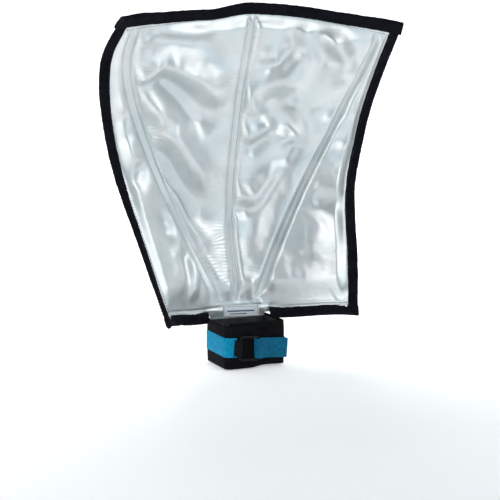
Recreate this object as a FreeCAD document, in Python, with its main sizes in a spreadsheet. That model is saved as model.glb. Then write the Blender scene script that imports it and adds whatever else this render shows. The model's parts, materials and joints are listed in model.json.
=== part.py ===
"""Bendable flash snoot: a stiffened silver panel on a wrap-round belt for a flash head.

Frame: millimetres, origin in the middle of the mouth that takes the flash head, at the
lower edge of the belt.  +X is the wearer's view right, +Y is behind the panel, +Z is up.
"""
import math
import os

import FreeCAD
import Part
import Sketcher

V = FreeCAD.Vector

# Driving dimensions, written to the sheet and read back from it.
SIZES = {
    # belt
    "socket_width": 76.0,
    "socket_depth": 52.0,
    "belt_height": 57.0,
    "lining_thick": 1.0,
    "flap_thick": 2.5,
    "flap_overlap_end": 6.0,
    "flap_overlap_start": -36.0,
    "flap_drop": 1.0,
    "belt_corner_radius": 6.0,
    "flap_inner_radius": 3.0,
    # strap, ring and tab
    "strap_width": 25.0,
    "strap_thick": 1.4,
    "strap_middle_height": 26.0,
    "strap_slope": 4.2,
    "strap_sewn_end": -27.0,
    "strap_turn": -3.0,
    "ring_left": -26.0,
    "ring_right": 1.5,
    "ring_height": 32.0,
    "ring_bar": 3.0,
    "ring_thick": 2.4,
    "ring_middle_y": -37.0,
    "ring_corner_radius": 2.5,
    "tab_left": -31.0,
    "tab_width": 20.0,
    "tab_wall": 1.2,
    "fold_clearance": 0.1,
    "patch_thick": 1.0,
    "patch_left": 17.0,
    "patch_right": 37.0,
    "patch_width": 22.0,
    "tail_ramp_end": 15.0,
    "tail_end": 42.0,
    # neck
    "neck_width": 72.0,
    "neck_height": 15.0,
    "neck_thick": 3.2,
    "label_width": 46.0,
    "label_height": 13.0,
    "label_thick": 0.5,
    # panel
    "panel_gap": 4.0,
    "panel_height": 392.0,
    "panel_half_width_low": 160.0,
    "panel_half_width_high": 197.0,
    "panel_arch": 19.0,
    "face_thick": 1.0,
    "rod_space": 3.6,
    "binding_width": 13.0,
    "binding_proud": 0.7,
    "fold_gap": 6.0,
    "middle_cut": 0.56,
    "top_cut": 0.78,
    "corner_cut_side": 0.42,
    "corner_cut_x": 44.0,
    "notch_half_width": 48.0,
    "notch_height": 15.0,
    # rods
    "rod_diameter": 2.2,
    "cap_diameter": 2.5,
    "cap_length": 9.0,
    "cap_clearance": 0.3,
    "rod_foot": 25.0,
    "rod_head": 36.0,
    "rod_spread_foot": 16.0,
    "rod_spread_top": 170.0,
    # how far back the middle of the panel stands
    "centre_back_foot": 25.0,
    "centre_back_waist": 55.0,
    "centre_back_chest": 30.0,
    "centre_back_top": -25.0,
    # half angle, in degrees, that the panel curls round
    "curl_foot": 65.0,
    "curl_waist": 50.0,
    "curl_chest": 12.0,
    "curl_shoulder": 10.0,
    "curl_top": 35.0,
}
# the heights, as shares of the panel's, at which its curve is given
CENTRE_STATIONS = {"foot": 0.0, "waist": 0.3, "chest": 0.65, "top": 1.0}
CURL_STATIONS = {"foot": 0.0, "waist": 0.25, "chest": 0.6, "shoulder": 0.8, "top": 1.0}
ROD_FAN = 1.5

document = FreeCAD.newDocument("Snoot")
sheet = document.addObject("Spreadsheet::Sheet", "Sizes")
for row, (alias, value) in enumerate(SIZES.items(), start=1):
    sheet.set("A%d" % row, alias.replace("_", " "))
    sheet.set("B%d" % row, str(value))
    sheet.setAlias("B%d" % row, alias)
document.recompute()


def size(alias):
    """One driving dimension, read from the sheet."""
    return float(sheet.get(alias))


nodes = []


def register(thing, label):
    """Name a finished sub-part and put it on the list to export."""
    thing.Label = label
    nodes.append(thing)
    return thing


# ---------------------------------------------------------------- belt, by sketches
HALF_X = "Sizes.socket_width / 2"
HALF_Y = "Sizes.socket_depth / 2"
LINING_X = HALF_X + " + Sizes.lining_thick"
LINING_Y = HALF_Y + " + Sizes.lining_thick"
OUTER_X = LINING_X + " + Sizes.flap_thick"
OUTER_Y = LINING_Y + " + Sizes.flap_thick"
FRONT_Y = OUTER_Y + " + Sizes.flap_thick"


def minus(expression):
    return "-(%s)" % expression


def origin_plane(body, role):
    """One of a body's own origin planes."""
    return [f for f in body.Origin.OriginFeatures if f.Role == role][0]


def outline_sketch(body, name, corners, plane="XY_Plane", offset=None):
    """A closed outline of straight edges; every corner is tied to the sheet."""
    sketch = body.newObject("Sketcher::SketchObject", name)
    sketch.AttachmentSupport = [(origin_plane(body, plane), "")]
    sketch.MapMode = "FlatFace"
    if offset:
        sketch.setExpression("AttachmentOffset.Base.z", offset)
    count = len(corners)
    turn = 2 * math.pi / count
    start = [V(50 * math.cos(turn * k), 50 * math.sin(turn * k), 0) for k in range(count)]
    for k in range(count):
        sketch.addGeometry(Part.LineSegment(start[k], start[(k + 1) % count]))
    for k in range(count):
        sketch.addConstraint(Sketcher.Constraint("Coincident", k, 2, (k + 1) % count, 1))
    for k, (across, along) in enumerate(corners):
        for kind, expression, guess in (("DistanceX", across, start[k].x),
                                        ("DistanceY", along, start[k].y)):
            index = sketch.addConstraint(Sketcher.Constraint(kind, k, 1, guess))
            sketch.setExpression("Constraints[%d]" % index, expression)
    return sketch


def rectangle(left, right, near, far):
    """Corner expressions of a rectangle."""
    return [(left, near), (right, near), (right, far), (left, far)]


def prism(label, corners, bottom, height):
    """A body: an outline in plan, lifted to a height and padded up."""
    body = document.addObject("PartDesign::Body", label)
    sketch = outline_sketch(body, label + "_outline", corners, offset=bottom)
    pad = body.newObject("PartDesign::Pad", label + "_pad")
    pad.Profile = sketch
    pad.setExpression("Length", height)
    body.Tip = pad
    document.recompute()
    return register(body, label)


def round_upright_edges(body, spots, radius):
    """Fillet the upright edges of a body that stand at the given places in plan."""
    base = body.Tip
    names = []
    for number, edge in enumerate(base.Shape.Edges, start=1):
        ends = [vertex.Point for vertex in edge.Vertexes]
        if len(ends) != 2 or (ends[0] - ends[1]).cross(V(0, 0, 1)).Length > 1e-6:
            continue
        if any(math.hypot(ends[0].x - x, ends[0].y - y) < 0.01 for x, y in spots):
            names.append("Edge%d" % number)
    fillet = body.newObject("PartDesign::Fillet", "%s_round_%d" % (body.Label, len(body.Group)))
    fillet.Base = (base, names)
    fillet.setExpression("Radius", radius)
    body.Tip = fillet
    document.recompute()


lining_x = size("socket_width") / 2 + size("lining_thick")
lining_y = size("socket_depth") / 2 + size("lining_thick")
outer_x = lining_x + size("flap_thick")
outer_y = lining_y + size("flap_thick")
front_y = outer_y + size("flap_thick")

BELT_BOTTOM = "0"
BELT_TALL = "Sizes.belt_height"
LINING_TALL = "Sizes.belt_height - 4 * Sizes.flap_drop"
LINING_BOTTOM = "2 * Sizes.flap_drop"


def build_linings():
    """Four grippy sheets on the inside walls of the belt."""
    prism("grip_lining_left",
          rectangle(minus(LINING_X), minus(HALF_X), minus(HALF_Y), HALF_Y),
          LINING_BOTTOM, LINING_TALL)
    prism("grip_lining_right",
          rectangle(HALF_X, LINING_X, minus(HALF_Y), HALF_Y),
          LINING_BOTTOM, LINING_TALL)
    prism("grip_lining_back",
          rectangle(minus(HALF_X), HALF_X, HALF_Y, LINING_Y),
          LINING_BOTTOM, LINING_TALL)
    prism("grip_lining_front",
          rectangle(minus(HALF_X), HALF_X, minus(LINING_Y), minus(HALF_Y)),
          LINING_BOTTOM, LINING_TALL)


def build_flaps():
    """The back pad and the two wrap flaps; the left flap closes over the right one."""
    prism("back_pad",
          rectangle(minus(LINING_X), LINING_X, LINING_Y, OUTER_Y),
          BELT_BOTTOM, BELT_TALL)
    left = prism("left_flap",
                 [(minus(OUTER_X), OUTER_Y),
                  (minus(OUTER_X), minus(FRONT_Y)),
                  ("Sizes.flap_overlap_end", minus(FRONT_Y)),
                  ("Sizes.flap_overlap_end", minus(OUTER_Y)),
                  (minus(LINING_X), minus(OUTER_Y)),
                  (minus(LINING_X), OUTER_Y)],
                 BELT_BOTTOM, BELT_TALL + " - Sizes.flap_drop")
    round_upright_edges(left, [(-outer_x, -front_y)], "Sizes.belt_corner_radius")
    round_upright_edges(left, [(-outer_x, outer_y)], "Sizes.flap_thick * 0.9")
    right = prism("right_flap",
                  [(OUTER_X, OUTER_Y),
                   (OUTER_X, minus(OUTER_Y)),
                   ("Sizes.flap_overlap_start", minus(OUTER_Y)),
                   ("Sizes.flap_overlap_start", minus(LINING_Y)),
                   (LINING_X, minus(LINING_Y)),
                   (LINING_X, OUTER_Y)],
                  "Sizes.flap_drop", BELT_TALL)
    round_upright_edges(right, [(outer_x, -outer_y)], "Sizes.flap_inner_radius")
    round_upright_edges(right, [(outer_x, outer_y)], "Sizes.flap_thick * 0.9")


def build_neck():
    """The sewn strip at the panel's foot, which hangs on the belt, and the label on it."""
    prism("neck_panel",
          rectangle("-Sizes.neck_width / 2", "Sizes.neck_width / 2",
                    LINING_Y, LINING_Y + " + Sizes.neck_thick"),
          "Sizes.belt_height + Sizes.panel_gap", "Sizes.neck_height")
    prism("label_patch",
          rectangle("-Sizes.label_width / 2", "Sizes.label_width / 2",
                    LINING_Y + " - Sizes.label_thick", LINING_Y),
          "Sizes.belt_height + Sizes.panel_gap + 1", "Sizes.label_height")


# ---------------------------------------------------------------- strap, ring and tail
def strap_frame():
    """Where the strap's parts sit: half way up the belt, running a little downhill to the right."""
    slope = FreeCAD.Rotation(V(0, 1, 0), size("strap_slope"))
    return FreeCAD.Placement(V(0, 0, size("strap_middle_height")), slope)


def sloping_band(width):
    """A slab of the given width, square to the sloping strap, wide enough for any strap part."""
    reach = 120.0
    slab = Part.makeBox(2 * reach, 2 * reach, width, V(-reach, -reach, -width / 2))
    slab.Placement = strap_frame()
    return slab


def strip(outline, width):
    """A strip of webbing in the strap's own frame, standing on edge with this plan outline."""
    points = [V(x, y, -width / 2) for x, y in outline]
    return Part.Face(Part.makePolygon(points + points[:1])).extrude(V(0, 0, width))


def shaped(label, shape, place=None):
    """A sub-part whose shape is worked out by the functions here, set in its place."""
    feature = document.addObject("Part::Feature", label)
    feature.Shape = shape
    feature.Placement = place or FreeCAD.Placement()
    return register(feature, label)


def build_strap():
    """One long webbing strap: sewn at the front left, round the back, and up to the ring."""
    thick = size("strap_thick")
    step_x = size("flap_overlap_end")
    inner = [(size("strap_sewn_end"), -front_y),
             (-outer_x, -front_y),
             (-outer_x, outer_y),
             (outer_x, outer_y),
             (outer_x, -outer_y),
             (step_x + 1, -outer_y),
             (step_x + 1, -front_y),
             (size("strap_turn"), -front_y)]
    outer = [(size("strap_turn"), -front_y - thick),
             (step_x + 1 + thick, -front_y - thick),
             (step_x + 1 + thick, -outer_y - thick),
             (outer_x + thick, -outer_y - thick),
             (outer_x + thick, outer_y + thick),
             (-outer_x - thick, outer_y + thick),
             (-outer_x - thick, -front_y - thick),
             (size("strap_sewn_end"), -front_y - thick)]
    points = [V(x, y, 0) for x, y in inner + outer]
    wall = Part.Face(Part.makePolygon(points + points[:1])).extrude(V(0, 0, size("belt_height")))
    shaped("strap", wall.common(sloping_band(size("strap_width"))).Solids[0])


def build_ring_and_tab():
    """A flat rectangular ring, and the webbing tab sewn round its left bar."""
    middle_y = size("ring_middle_y")
    half_thick = size("ring_thick") / 2
    left = size("ring_left")
    right = size("ring_right")
    bar = size("ring_bar")
    tall = size("ring_height")
    plate = Part.makeBox(right - left, 2 * half_thick, tall, V(left, middle_y - half_thick, -tall / 2))
    corners = [e for e in plate.Edges if abs(e.tangentAt(e.FirstParameter).y) > 0.99]
    plate = plate.makeFillet(size("ring_corner_radius"), corners)
    window = Part.makeBox(right - left - 2 * bar, 2 * half_thick, tall - 2 * bar,
                          V(left + bar, middle_y - half_thick, -tall / 2 + bar))
    ring = plate.cut(window)
    shaped("buckle_ring", ring, strap_frame())

    wall = size("tab_wall")
    back = -front_y - size("strap_thick")
    nose = middle_y - half_thick - wall
    outline = [(size("tab_left"), back),
               (left + bar + wall, back),
               (left + bar + wall, nose),
               (left - wall, nose),
               (left - wall, back - wall),
               (size("tab_left"), back - wall)]
    tab = strip(outline, size("tab_width")).cut(ring)
    shaped("ring_tab", tab.Solids[0], strap_frame())


def tail_line():
    """Plan points of the face of the tail that looks at the belt."""
    thick = size("strap_thick")
    lay_y = -outer_y - thick - 2 * size("patch_thick") - size("fold_clearance")
    bar_x = size("ring_right") - size("ring_bar") / 2
    radius = math.hypot(size("ring_bar"), size("ring_thick")) / 2 + size("fold_clearance")
    return bar_x, radius, lay_y


def build_tail():
    """The loose end: folded round the ring's right bar and pressed down on itself."""
    thick = size("strap_thick")
    middle_y = size("ring_middle_y")
    bar_x, radius, lay_y = tail_line()
    near_y = middle_y - radius
    ramp = size("tail_ramp_end")
    outline = [(bar_x, near_y),
               (bar_x + radius, near_y),
               (ramp, lay_y),
               (size("tail_end"), lay_y),
               (size("tail_end"), lay_y - thick),
               (ramp, lay_y - thick),
               (bar_x + radius, near_y - thick),
               (bar_x, near_y - thick)]
    shaped("strap_tail", strip(outline, size("strap_width")), strap_frame())

    foot = -size("strap_width") / 2
    arcs = []
    for reach in (radius, radius + thick):
        slant = reach * math.sqrt(0.5)
        arcs.append((V(bar_x - reach, middle_y, foot),
                     V(bar_x - slant, middle_y - slant, foot),
                     V(bar_x, middle_y - reach, foot)))
    inner, outer = arcs
    outline = Part.Wire([Part.Arc(*inner).toShape(),
                         Part.makeLine(inner[2], outer[2]),
                         Part.Arc(*reversed(outer)).toShape(),
                         Part.makeLine(outer[0], inner[0])])
    turn = Part.Face(outline).extrude(V(0, 0, size("strap_width")))
    shaped("strap_fold", turn, strap_frame())

    patch = size("patch_thick")
    left = size("patch_left")
    right = size("patch_right")
    run_y = -outer_y - thick
    for label, back in (("loop_patch", run_y), ("hook_patch", lay_y + patch)):
        outline = [(left, back), (right, back), (right, back - patch), (left, back - patch)]
        shaped(label, strip(outline, size("patch_width")), strap_frame())


# ---------------------------------------------------------------- panel surface
def through(stations, values, at):
    """A smooth curve through the values, read at one station."""
    last = len(stations) - 2
    index = min(max(sum(1 for k in stations[1:] if k < at), 0), last)
    slopes = []
    for k in (index, index + 1):
        before = max(0, k - 1)
        after = min(len(stations) - 1, k + 1)
        slopes.append((values[after] - values[before]) / (stations[after] - stations[before]))
    span = stations[index + 1] - stations[index]
    q = (at - stations[index]) / span
    return ((2 * q**3 - 3 * q**2 + 1) * values[index] + (q**3 - 2 * q**2 + q) * span * slopes[0]
            + (3 * q**2 - 2 * q**3) * values[index + 1] + (q**3 - q**2) * span * slopes[1])


CENTRE_HEIGHTS = list(CENTRE_STATIONS.values())
CENTRE_VALUES = [size("centre_back_" + place) for place in CENTRE_STATIONS]
CURL_HEIGHTS = list(CURL_STATIONS.values())
CURL_VALUES = [size("curl_" + place) for place in CURL_STATIONS]
PANEL_FOOT = size("belt_height") + size("panel_gap")


def level(share):
    """Height above the origin of a share of the panel's height."""
    return PANEL_FOOT + share * size("panel_height")


def share_at(height):
    return (height - PANEL_FOOT) / size("panel_height")


def bow(share):
    """The panel's plan curve at one height: centre distance, half angle and arc radius."""
    low = size("panel_half_width_low")
    half_width = low + (size("panel_half_width_high") - low) * share
    half_angle = math.radians(through(CURL_HEIGHTS, CURL_VALUES, share))
    return through(CENTRE_HEIGHTS, CENTRE_VALUES, share), half_angle, half_width / half_angle


def panel_point(along, share, depth):
    """A point on the panel: along is measured on the silver face from the middle."""
    centre_y, _, radius = bow(share)
    angle = along / radius
    return V((radius + depth) * math.sin(angle),
             centre_y - radius + (radius + depth) * math.cos(angle),
             level(share))


def half_width(share):
    _, half_angle, radius = bow(share)
    return half_angle * radius


def section(left, right, near, far, share):
    """Closed plan outline of a layer between two depths, at one height."""
    ends = []
    for depth in (near, far):
        ends.append([panel_point(along, share, depth)
                     for along in (left, (left + right) / 2, right)])
    front, back = ends
    edges = [Part.Arc(*front).toShape(),
             Part.LineSegment(front[2], back[2]).toShape(),
             Part.Arc(*reversed(back)).toShape(),
             Part.LineSegment(back[0], front[0]).toShape()]
    return Part.Wire(edges)


def layer(edge_left, edge_right, near, far, low, high, steps):
    """A curved slab: edge functions give its side limits at each height."""
    sections = []
    for k in range(steps + 1):
        share = low + (high - low) * k / steps
        sections.append(section(edge_left(share), edge_right(share), near, far, share))
    return Part.makeLoft(sections, True, False)


FACE = size("face_thick")
SPACE = size("rod_space")
PROUD = size("binding_proud")
TRIM = size("binding_width")
GAP = size("fold_gap")
FACE_DEPTHS = (0.0, FACE)
BACK_DEPTHS = (FACE + SPACE, 2 * FACE + SPACE)
BINDING_DEPTHS = (-PROUD, 2 * FACE + SPACE + PROUD)
MIDDLE_DEPTH = FACE + SPACE / 2
HALF_GAP_SHARE = GAP / 2 / size("panel_height")
TRIM_SHARE = TRIM / size("panel_height")
MIDDLE_CUT = size("middle_cut")
TOP_CUT = size("top_cut")


def field_left(share):
    return -half_width(share) + TRIM


def field_right(share):
    return half_width(share) - TRIM


def panel_left(share):
    return -half_width(share)


def panel_right(share):
    return half_width(share)


SPANS = {
    "field": (field_left, field_right),
    "left_edge": (panel_left, field_left),
    "right_edge": (field_right, panel_right),
    "whole": (panel_left, panel_right),
}


def slab(span, depths, low, high, steps=6):
    edge_left, edge_right = SPANS[span]
    return layer(edge_left, edge_right, depths[0], depths[1], low, high, steps)


def hinge_line(side):
    """Ends of the slanting crease that lets a lower corner fold; side is -1 or 1."""
    low = panel_point(side * size("corner_cut_x"), 0.0, MIDDLE_DEPTH)
    share = size("corner_cut_side")
    high = panel_point(side * half_width(share), share, MIDDLE_DEPTH)
    return low, high


def corner_block(side, clearance):
    """A block that takes in all of the panel past the crease, less the clearance."""
    low, high = hinge_line(side)
    along = (high - low).normalize()
    middle_share = size("corner_cut_side") / 2
    middle = (low + high) / 2
    radius_centre = V(0, bow(middle_share)[0] - bow(middle_share)[2], middle.z)
    out = (middle - radius_centre).normalize()
    across = along.cross(out).normalize() * -side
    reach = 400.0
    block = Part.makeBox(2 * reach, 2 * reach, reach, V(-reach, -reach, clearance))
    block.Placement = FreeCAD.Placement(low, FreeCAD.Rotation(along, across.cross(along), across, "ZXY"))
    return block


def notch_block():
    """The space over the belt that the panel leaves free, so that it can tilt."""
    half = size("notch_half_width")
    return Part.makeBox(2 * half, 200, size("notch_height") + 10,
                        V(-half, -60, PANEL_FOOT - 10))


def arch_block(drop):
    """A block above the arched top edge, lowered by drop."""
    top = level(1.0)
    reach = size("panel_half_width_high")
    crown = Part.Arc(V(-reach, -200, top - size("panel_arch") - drop),
                     V(0, -200, top - drop),
                     V(reach, -200, top - size("panel_arch") - drop)).toShape()
    high = top + 60
    wire = Part.Wire([crown,
                      Part.makeLine(V(reach, -200, top - size("panel_arch") - drop), V(reach, -200, high)),
                      Part.makeLine(V(reach, -200, high), V(-reach, -200, high)),
                      Part.makeLine(V(-reach, -200, high),
                                    V(-reach, -200, top - size("panel_arch") - drop))])
    return Part.Face(wire).extrude(V(0, 400, 0))


def largest(shape):
    return max(shape.Solids, key=lambda solid: solid.Volume)


def build_lower():
    """Lower panel and its two folding corners, cut from the same curved layers."""
    low = 0.0
    high = MIDDLE_CUT - HALF_GAP_SHARE
    notch = notch_block()
    inside = {side: corner_block(side, GAP / 2) for side in (-1, 1)}
    outside = {side: corner_block(side, -GAP / 2) for side in (-1, 1)}
    for name, depths in (("face", FACE_DEPTHS), ("back", BACK_DEPTHS)):
        whole = slab("field", depths, TRIM_SHARE, high, 14).cut(notch)
        shaped(name + "_lower", largest(whole.cut(outside[-1]).cut(outside[1])))
        for side, word in ((-1, "left"), (1, "right")):
            shaped("%s_%s_corner" % (name, word), largest(whole.common(inside[side])))
    foot = slab("whole", BINDING_DEPTHS, low, TRIM_SHARE, 2).cut(notch)
    for side, word in ((-1, "left"), (1, "right")):
        shaped("bottom_binding_" + word, largest(foot.common(inside[side])))
        edge = slab(word + "_edge", BINDING_DEPTHS, TRIM_SHARE, high, 14)
        shaped("side_binding_corner_" + word, largest(edge.common(inside[side])))
        shaped("side_binding_lower_" + word, largest(edge.cut(outside[side])))


def build_middle():
    """The band between the two cross creases."""
    low = MIDDLE_CUT + HALF_GAP_SHARE
    high = TOP_CUT - HALF_GAP_SHARE
    shaped("face_middle", slab("field", FACE_DEPTHS, low, high))
    shaped("back_middle", slab("field", BACK_DEPTHS, low, high))
    for word in ("left", "right"):
        shaped("side_binding_middle_" + word, slab(word + "_edge", BINDING_DEPTHS, low, high))


def build_top():
    """The band above the upper crease, under an arched edge."""
    low = TOP_CUT + HALF_GAP_SHARE
    high = 1.02
    over = arch_block(0.0)
    under = arch_block(TRIM)
    shaped("face_top", largest(slab("field", FACE_DEPTHS, low, high).cut(under)))
    shaped("back_top", largest(slab("field", BACK_DEPTHS, low, high).cut(under)))
    for word in ("left", "right"):
        edge = slab(word + "_edge", BINDING_DEPTHS, low, high)
        shaped("side_binding_top_" + word, largest(edge.cut(under)))
    rim = slab("whole", BINDING_DEPTHS, low, high).cut(over).common(under)
    shaped("top_binding", largest(rim))


# ---------------------------------------------------------------- bendable rods
def rod_point(side, share):
    """Centre of a rod at one height: side is -1, 0 or 1.  The outer rods fan out from the foot
    and run more and more upright."""
    fanned = 1 - max(0.0, 1 - share)**ROD_FAN
    spread = size("rod_spread_foot") + (size("rod_spread_top") - size("rod_spread_foot")) * fanned
    return panel_point(side * spread, share, MIDDLE_DEPTH)


def rounded_path(points):
    """Straight runs joined by tangent arcs."""
    edges = []
    start = points[0]
    for k in range(1, len(points) - 1):
        before = points[k - 1] - points[k]
        after = points[k + 1] - points[k]
        reach = 0.45 * min(before.Length, after.Length)
        enter = points[k] + V(before).normalize() * reach
        leave = points[k] + V(after).normalize() * reach
        half_turn = (math.pi - before.getAngle(after)) / 2
        radius = reach / math.tan(half_turn)
        inward = ((enter + leave) / 2 - points[k]).normalize()
        crest = points[k] + inward * (radius / math.cos(half_turn) - radius)
        edges.append(Part.LineSegment(start, enter).toShape())
        edges.append(Part.Arc(enter, crest, leave).toShape())
        start = leave
    edges.append(Part.LineSegment(start, points[-1]).toShape())
    return Part.Wire(edges)


def tube(points, diameter):
    """A round rod along a path."""
    path = rounded_path(points)
    direction = points[1] - points[0]
    profile = Part.Wire(Part.makeCircle(diameter / 2, points[0], direction))
    solid = path.makePipeShell([profile], True, False)
    expected = math.pi * diameter**2 / 4 * path.Length
    if abs(solid.Volume - expected) > 0.02 * expected:
        raise ValueError("rod volume is off: %.1f against %.1f" % (solid.Volume, expected))
    return solid


def rod_stretch(side, low, high, steps):
    return [rod_point(side, low + (high - low) * k / steps) for k in range(steps + 1)]


def build_rods():
    """Three annealed rods in the lining, each in three stretches, with end caps."""
    foot = share_at(PANEL_FOOT + size("rod_foot"))
    head = share_at(level(1.0) - size("rod_head"))
    cap = size("cap_length") / size("panel_height")
    clear = size("cap_clearance") / size("panel_height")
    for side, word in ((-1, "left"), (0, "centre"), (1, "right")):
        # the outer rods end lower, under the arch
        top = head - 0.03 * abs(side)
        shaped("rod_lower_" + word,
               tube(rod_stretch(side, foot + cap + clear, MIDDLE_CUT - HALF_GAP_SHARE, 13),
                    size("rod_diameter")))
        shaped("rod_middle_" + word,
               tube(rod_stretch(side, MIDDLE_CUT + HALF_GAP_SHARE, TOP_CUT - HALF_GAP_SHARE, 4),
                    size("rod_diameter")))
        shaped("rod_top_" + word,
               tube(rod_stretch(side, TOP_CUT + HALF_GAP_SHARE, top - cap - clear, 3),
                    size("rod_diameter")))
        shaped("rod_cap_lower_" + word, end_cap(side, foot, foot + cap))
        shaped("rod_cap_top_" + word, end_cap(side, top - cap, top))


def end_cap(side, low, high):
    """A soft sleeve on the end of a rod."""
    start = rod_point(side, low)
    run = rod_point(side, high) - start
    return Part.makeCylinder(size("cap_diameter") / 2, run.Length, start, run)


def check_and_export():
    """Stop on any failed object or bad shape, then write every sub-part."""
    document.recompute()
    for thing in document.Objects:
        if "Invalid" in thing.State or "Error" in thing.State:
            raise ValueError("%s did not compute: %s" % (thing.Label, thing.State))
    os.makedirs("parts", exist_ok=True)
    for thing in nodes:
        shape = thing.Shape
        if shape.isNull() or not shape.isValid() or not shape.Solids:
            raise ValueError("%s has no valid solid" % thing.Label)
    for thing in nodes:
        thing.Shape.exportStep("parts/%s.step" % thing.Label)
    print("%d sub-parts" % len(nodes))


build_linings()
build_flaps()
build_neck()
build_strap()
build_ring_and_tab()
build_tail()
build_lower()
build_middle()
build_top()
build_rods()
check_and_export()
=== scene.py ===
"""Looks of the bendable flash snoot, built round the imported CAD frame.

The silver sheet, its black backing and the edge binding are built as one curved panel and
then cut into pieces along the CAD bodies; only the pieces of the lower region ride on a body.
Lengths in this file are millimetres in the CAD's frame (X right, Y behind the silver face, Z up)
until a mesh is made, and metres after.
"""
import json
import math
from collections import namedtuple

import bmesh
import bpy
import numpy as np
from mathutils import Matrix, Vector


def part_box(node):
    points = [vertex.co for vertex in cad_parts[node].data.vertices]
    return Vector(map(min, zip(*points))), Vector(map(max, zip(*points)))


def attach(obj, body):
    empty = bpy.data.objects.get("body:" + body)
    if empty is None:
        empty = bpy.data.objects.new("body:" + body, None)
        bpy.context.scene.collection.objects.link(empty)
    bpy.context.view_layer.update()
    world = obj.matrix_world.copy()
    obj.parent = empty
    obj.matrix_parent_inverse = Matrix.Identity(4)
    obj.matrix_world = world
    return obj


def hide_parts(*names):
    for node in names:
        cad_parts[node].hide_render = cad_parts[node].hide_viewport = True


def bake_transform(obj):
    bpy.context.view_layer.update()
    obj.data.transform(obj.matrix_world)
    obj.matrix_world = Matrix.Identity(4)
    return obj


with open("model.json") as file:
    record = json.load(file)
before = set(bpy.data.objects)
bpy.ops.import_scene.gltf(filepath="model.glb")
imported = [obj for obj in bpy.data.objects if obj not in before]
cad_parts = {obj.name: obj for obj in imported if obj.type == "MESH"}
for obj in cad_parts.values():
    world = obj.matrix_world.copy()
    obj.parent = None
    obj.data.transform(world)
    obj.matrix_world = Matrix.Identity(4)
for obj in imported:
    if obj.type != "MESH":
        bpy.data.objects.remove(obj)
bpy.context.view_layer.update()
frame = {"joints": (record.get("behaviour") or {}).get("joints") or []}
MM = 0.001


def node_box(name):
    """Lowest and highest corner of a CAD node, in millimetres."""
    low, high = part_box(name)
    return np.array(low) / MM, np.array(high) / MM


# ================================================================ curved panel
# The CAD panel's curve, with a slightly higher arch: how far back the middle stands, and how far
# the sheet curls round, at shares of the panel's height.
FOOT = 61.0
TALL = 392.0
HALF_LOW, HALF_HIGH = 160.0, 197.0
ARCH_SHARE = 23.0 / TALL
CENTRE_AT = (0.0, 0.3, 0.65, 1.0)
CENTRE_BACK = (25.0, 55.0, 30.0, -25.0)
CURL_AT = (0.0, 0.25, 0.6, 0.8, 1.0)
CURL_DEGREES = (65.0, 50.0, 12.0, 10.0, 35.0)
ROD_FOOT, ROD_TOP, ROD_FAN = 16.0, 170.0, 1.5

# thickness of the panel, tape showing on each side, hem, and half the width of the neck
THICK = 5.6
BINDING = 13.0
HEM = 15.0
NECK_HALF = 43.0
# how far the sheets stop short of the outer edge, reach below the foot at the neck, and draw
# together at the edges, and the share of their distance that is left where the belt holds them
SHEET_INSET = 6.0
NECK_TUCK = 5.5
EDGE_TUCK = 1.3
NECK_SQUEEZE = 0.35
# height of the cloth laid flat, as a share of the panel's height
FLAT_SHARE = 1.03
# how high the loose silver stands before its folds, the folds' depth and blur, the lowest that
# the silver may lie, and the way a fold's gentle side faces
BILLOW = 9.0
FOLD_DEPTH = 1.25
FOLD_BLUR = 3.6
LOWEST = -1.2
UPPER_SIDE = np.array([-0.35, 1.0])

# A rod's channel: the cloth's rise over the rod, its girth left and right of the crest, the
# seams' distance from the rod, the reach of its hold, and the puckers' reach to either side.
Channel = namedtuple("Channel", "rod rise slow steep seam reach pucker_left pucker_right")
CHANNELS = (Channel(-1, 4.4, 5.0, 3.0, 6.4, 9.0, 5, 17),
            Channel(0, 5.0, 4.0, 2.2, 4.8, 6.5, 18, 8),
            Channel(1, 1.6, 1.8, 1.2, 2.7, 4.5, 6, 6))

# The limp sheet's departures: its sides' sway to the right, the upper left corner's droop, and
# the foot's sag in the middle and lift towards the left and the right.
SWAY_AT = (0.0, 0.2, 0.42, 0.6, 0.78, 1.0)
SWAY_LEFT = (5.0, 4.0, 4.0, 2.0, -2.0, -1.0)
SWAY_RIGHT = (2.0, 4.0, -6.0, 2.0, 8.0, 0.0)
CORNER_IN, CORNER_FORWARD = 13.0, 12.0
FOOT_SAG = 8.0
FOOT_LIFT_LEFT, FOOT_LIFT_RIGHT = 14.0, 10.0


def unit(vectors):
    """The vectors, each at length 1."""
    return vectors / np.linalg.norm(vectors, axis=-1, keepdims=True)


def bell(distance, width):
    """1 at no distance, falling off smoothly on both sides."""
    return np.exp(-(distance / width)**2)


def ramp(value, low, high):
    """0 up to low and 1 from high on, eased in between."""
    q = np.clip((value - low) / (high - low), 0, 1)
    return q * q * (3 - 2 * q)


def through(stations, values, at):
    """A smooth curve through the values, read at an array of stations."""
    stations = np.array(stations)
    values = np.array(values)
    at = np.asarray(at, float)
    last = len(stations) - 1
    index = np.clip(np.searchsorted(stations, at) - 1, 0, last - 1)
    slope = np.zeros(last + 1)
    for k in range(last + 1):
        before = max(0, k - 1)
        after = min(last, k + 1)
        slope[k] = (values[after] - values[before]) / (stations[after] - stations[before])
    span = stations[index + 1] - stations[index]
    q = (at - stations[index]) / span
    return ((2 * q**3 - 3 * q**2 + 1) * values[index]
            + (q**3 - 2 * q**2 + q) * span * slope[index]
            + (3 * q**2 - 2 * q**3) * values[index + 1]
            + (q**3 - q**2) * span * slope[index + 1])


def half_width(share):
    """Half the panel's width along the cloth, at a share of its height."""
    return HALF_LOW + (HALF_HIGH - HALF_LOW) * share


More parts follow.
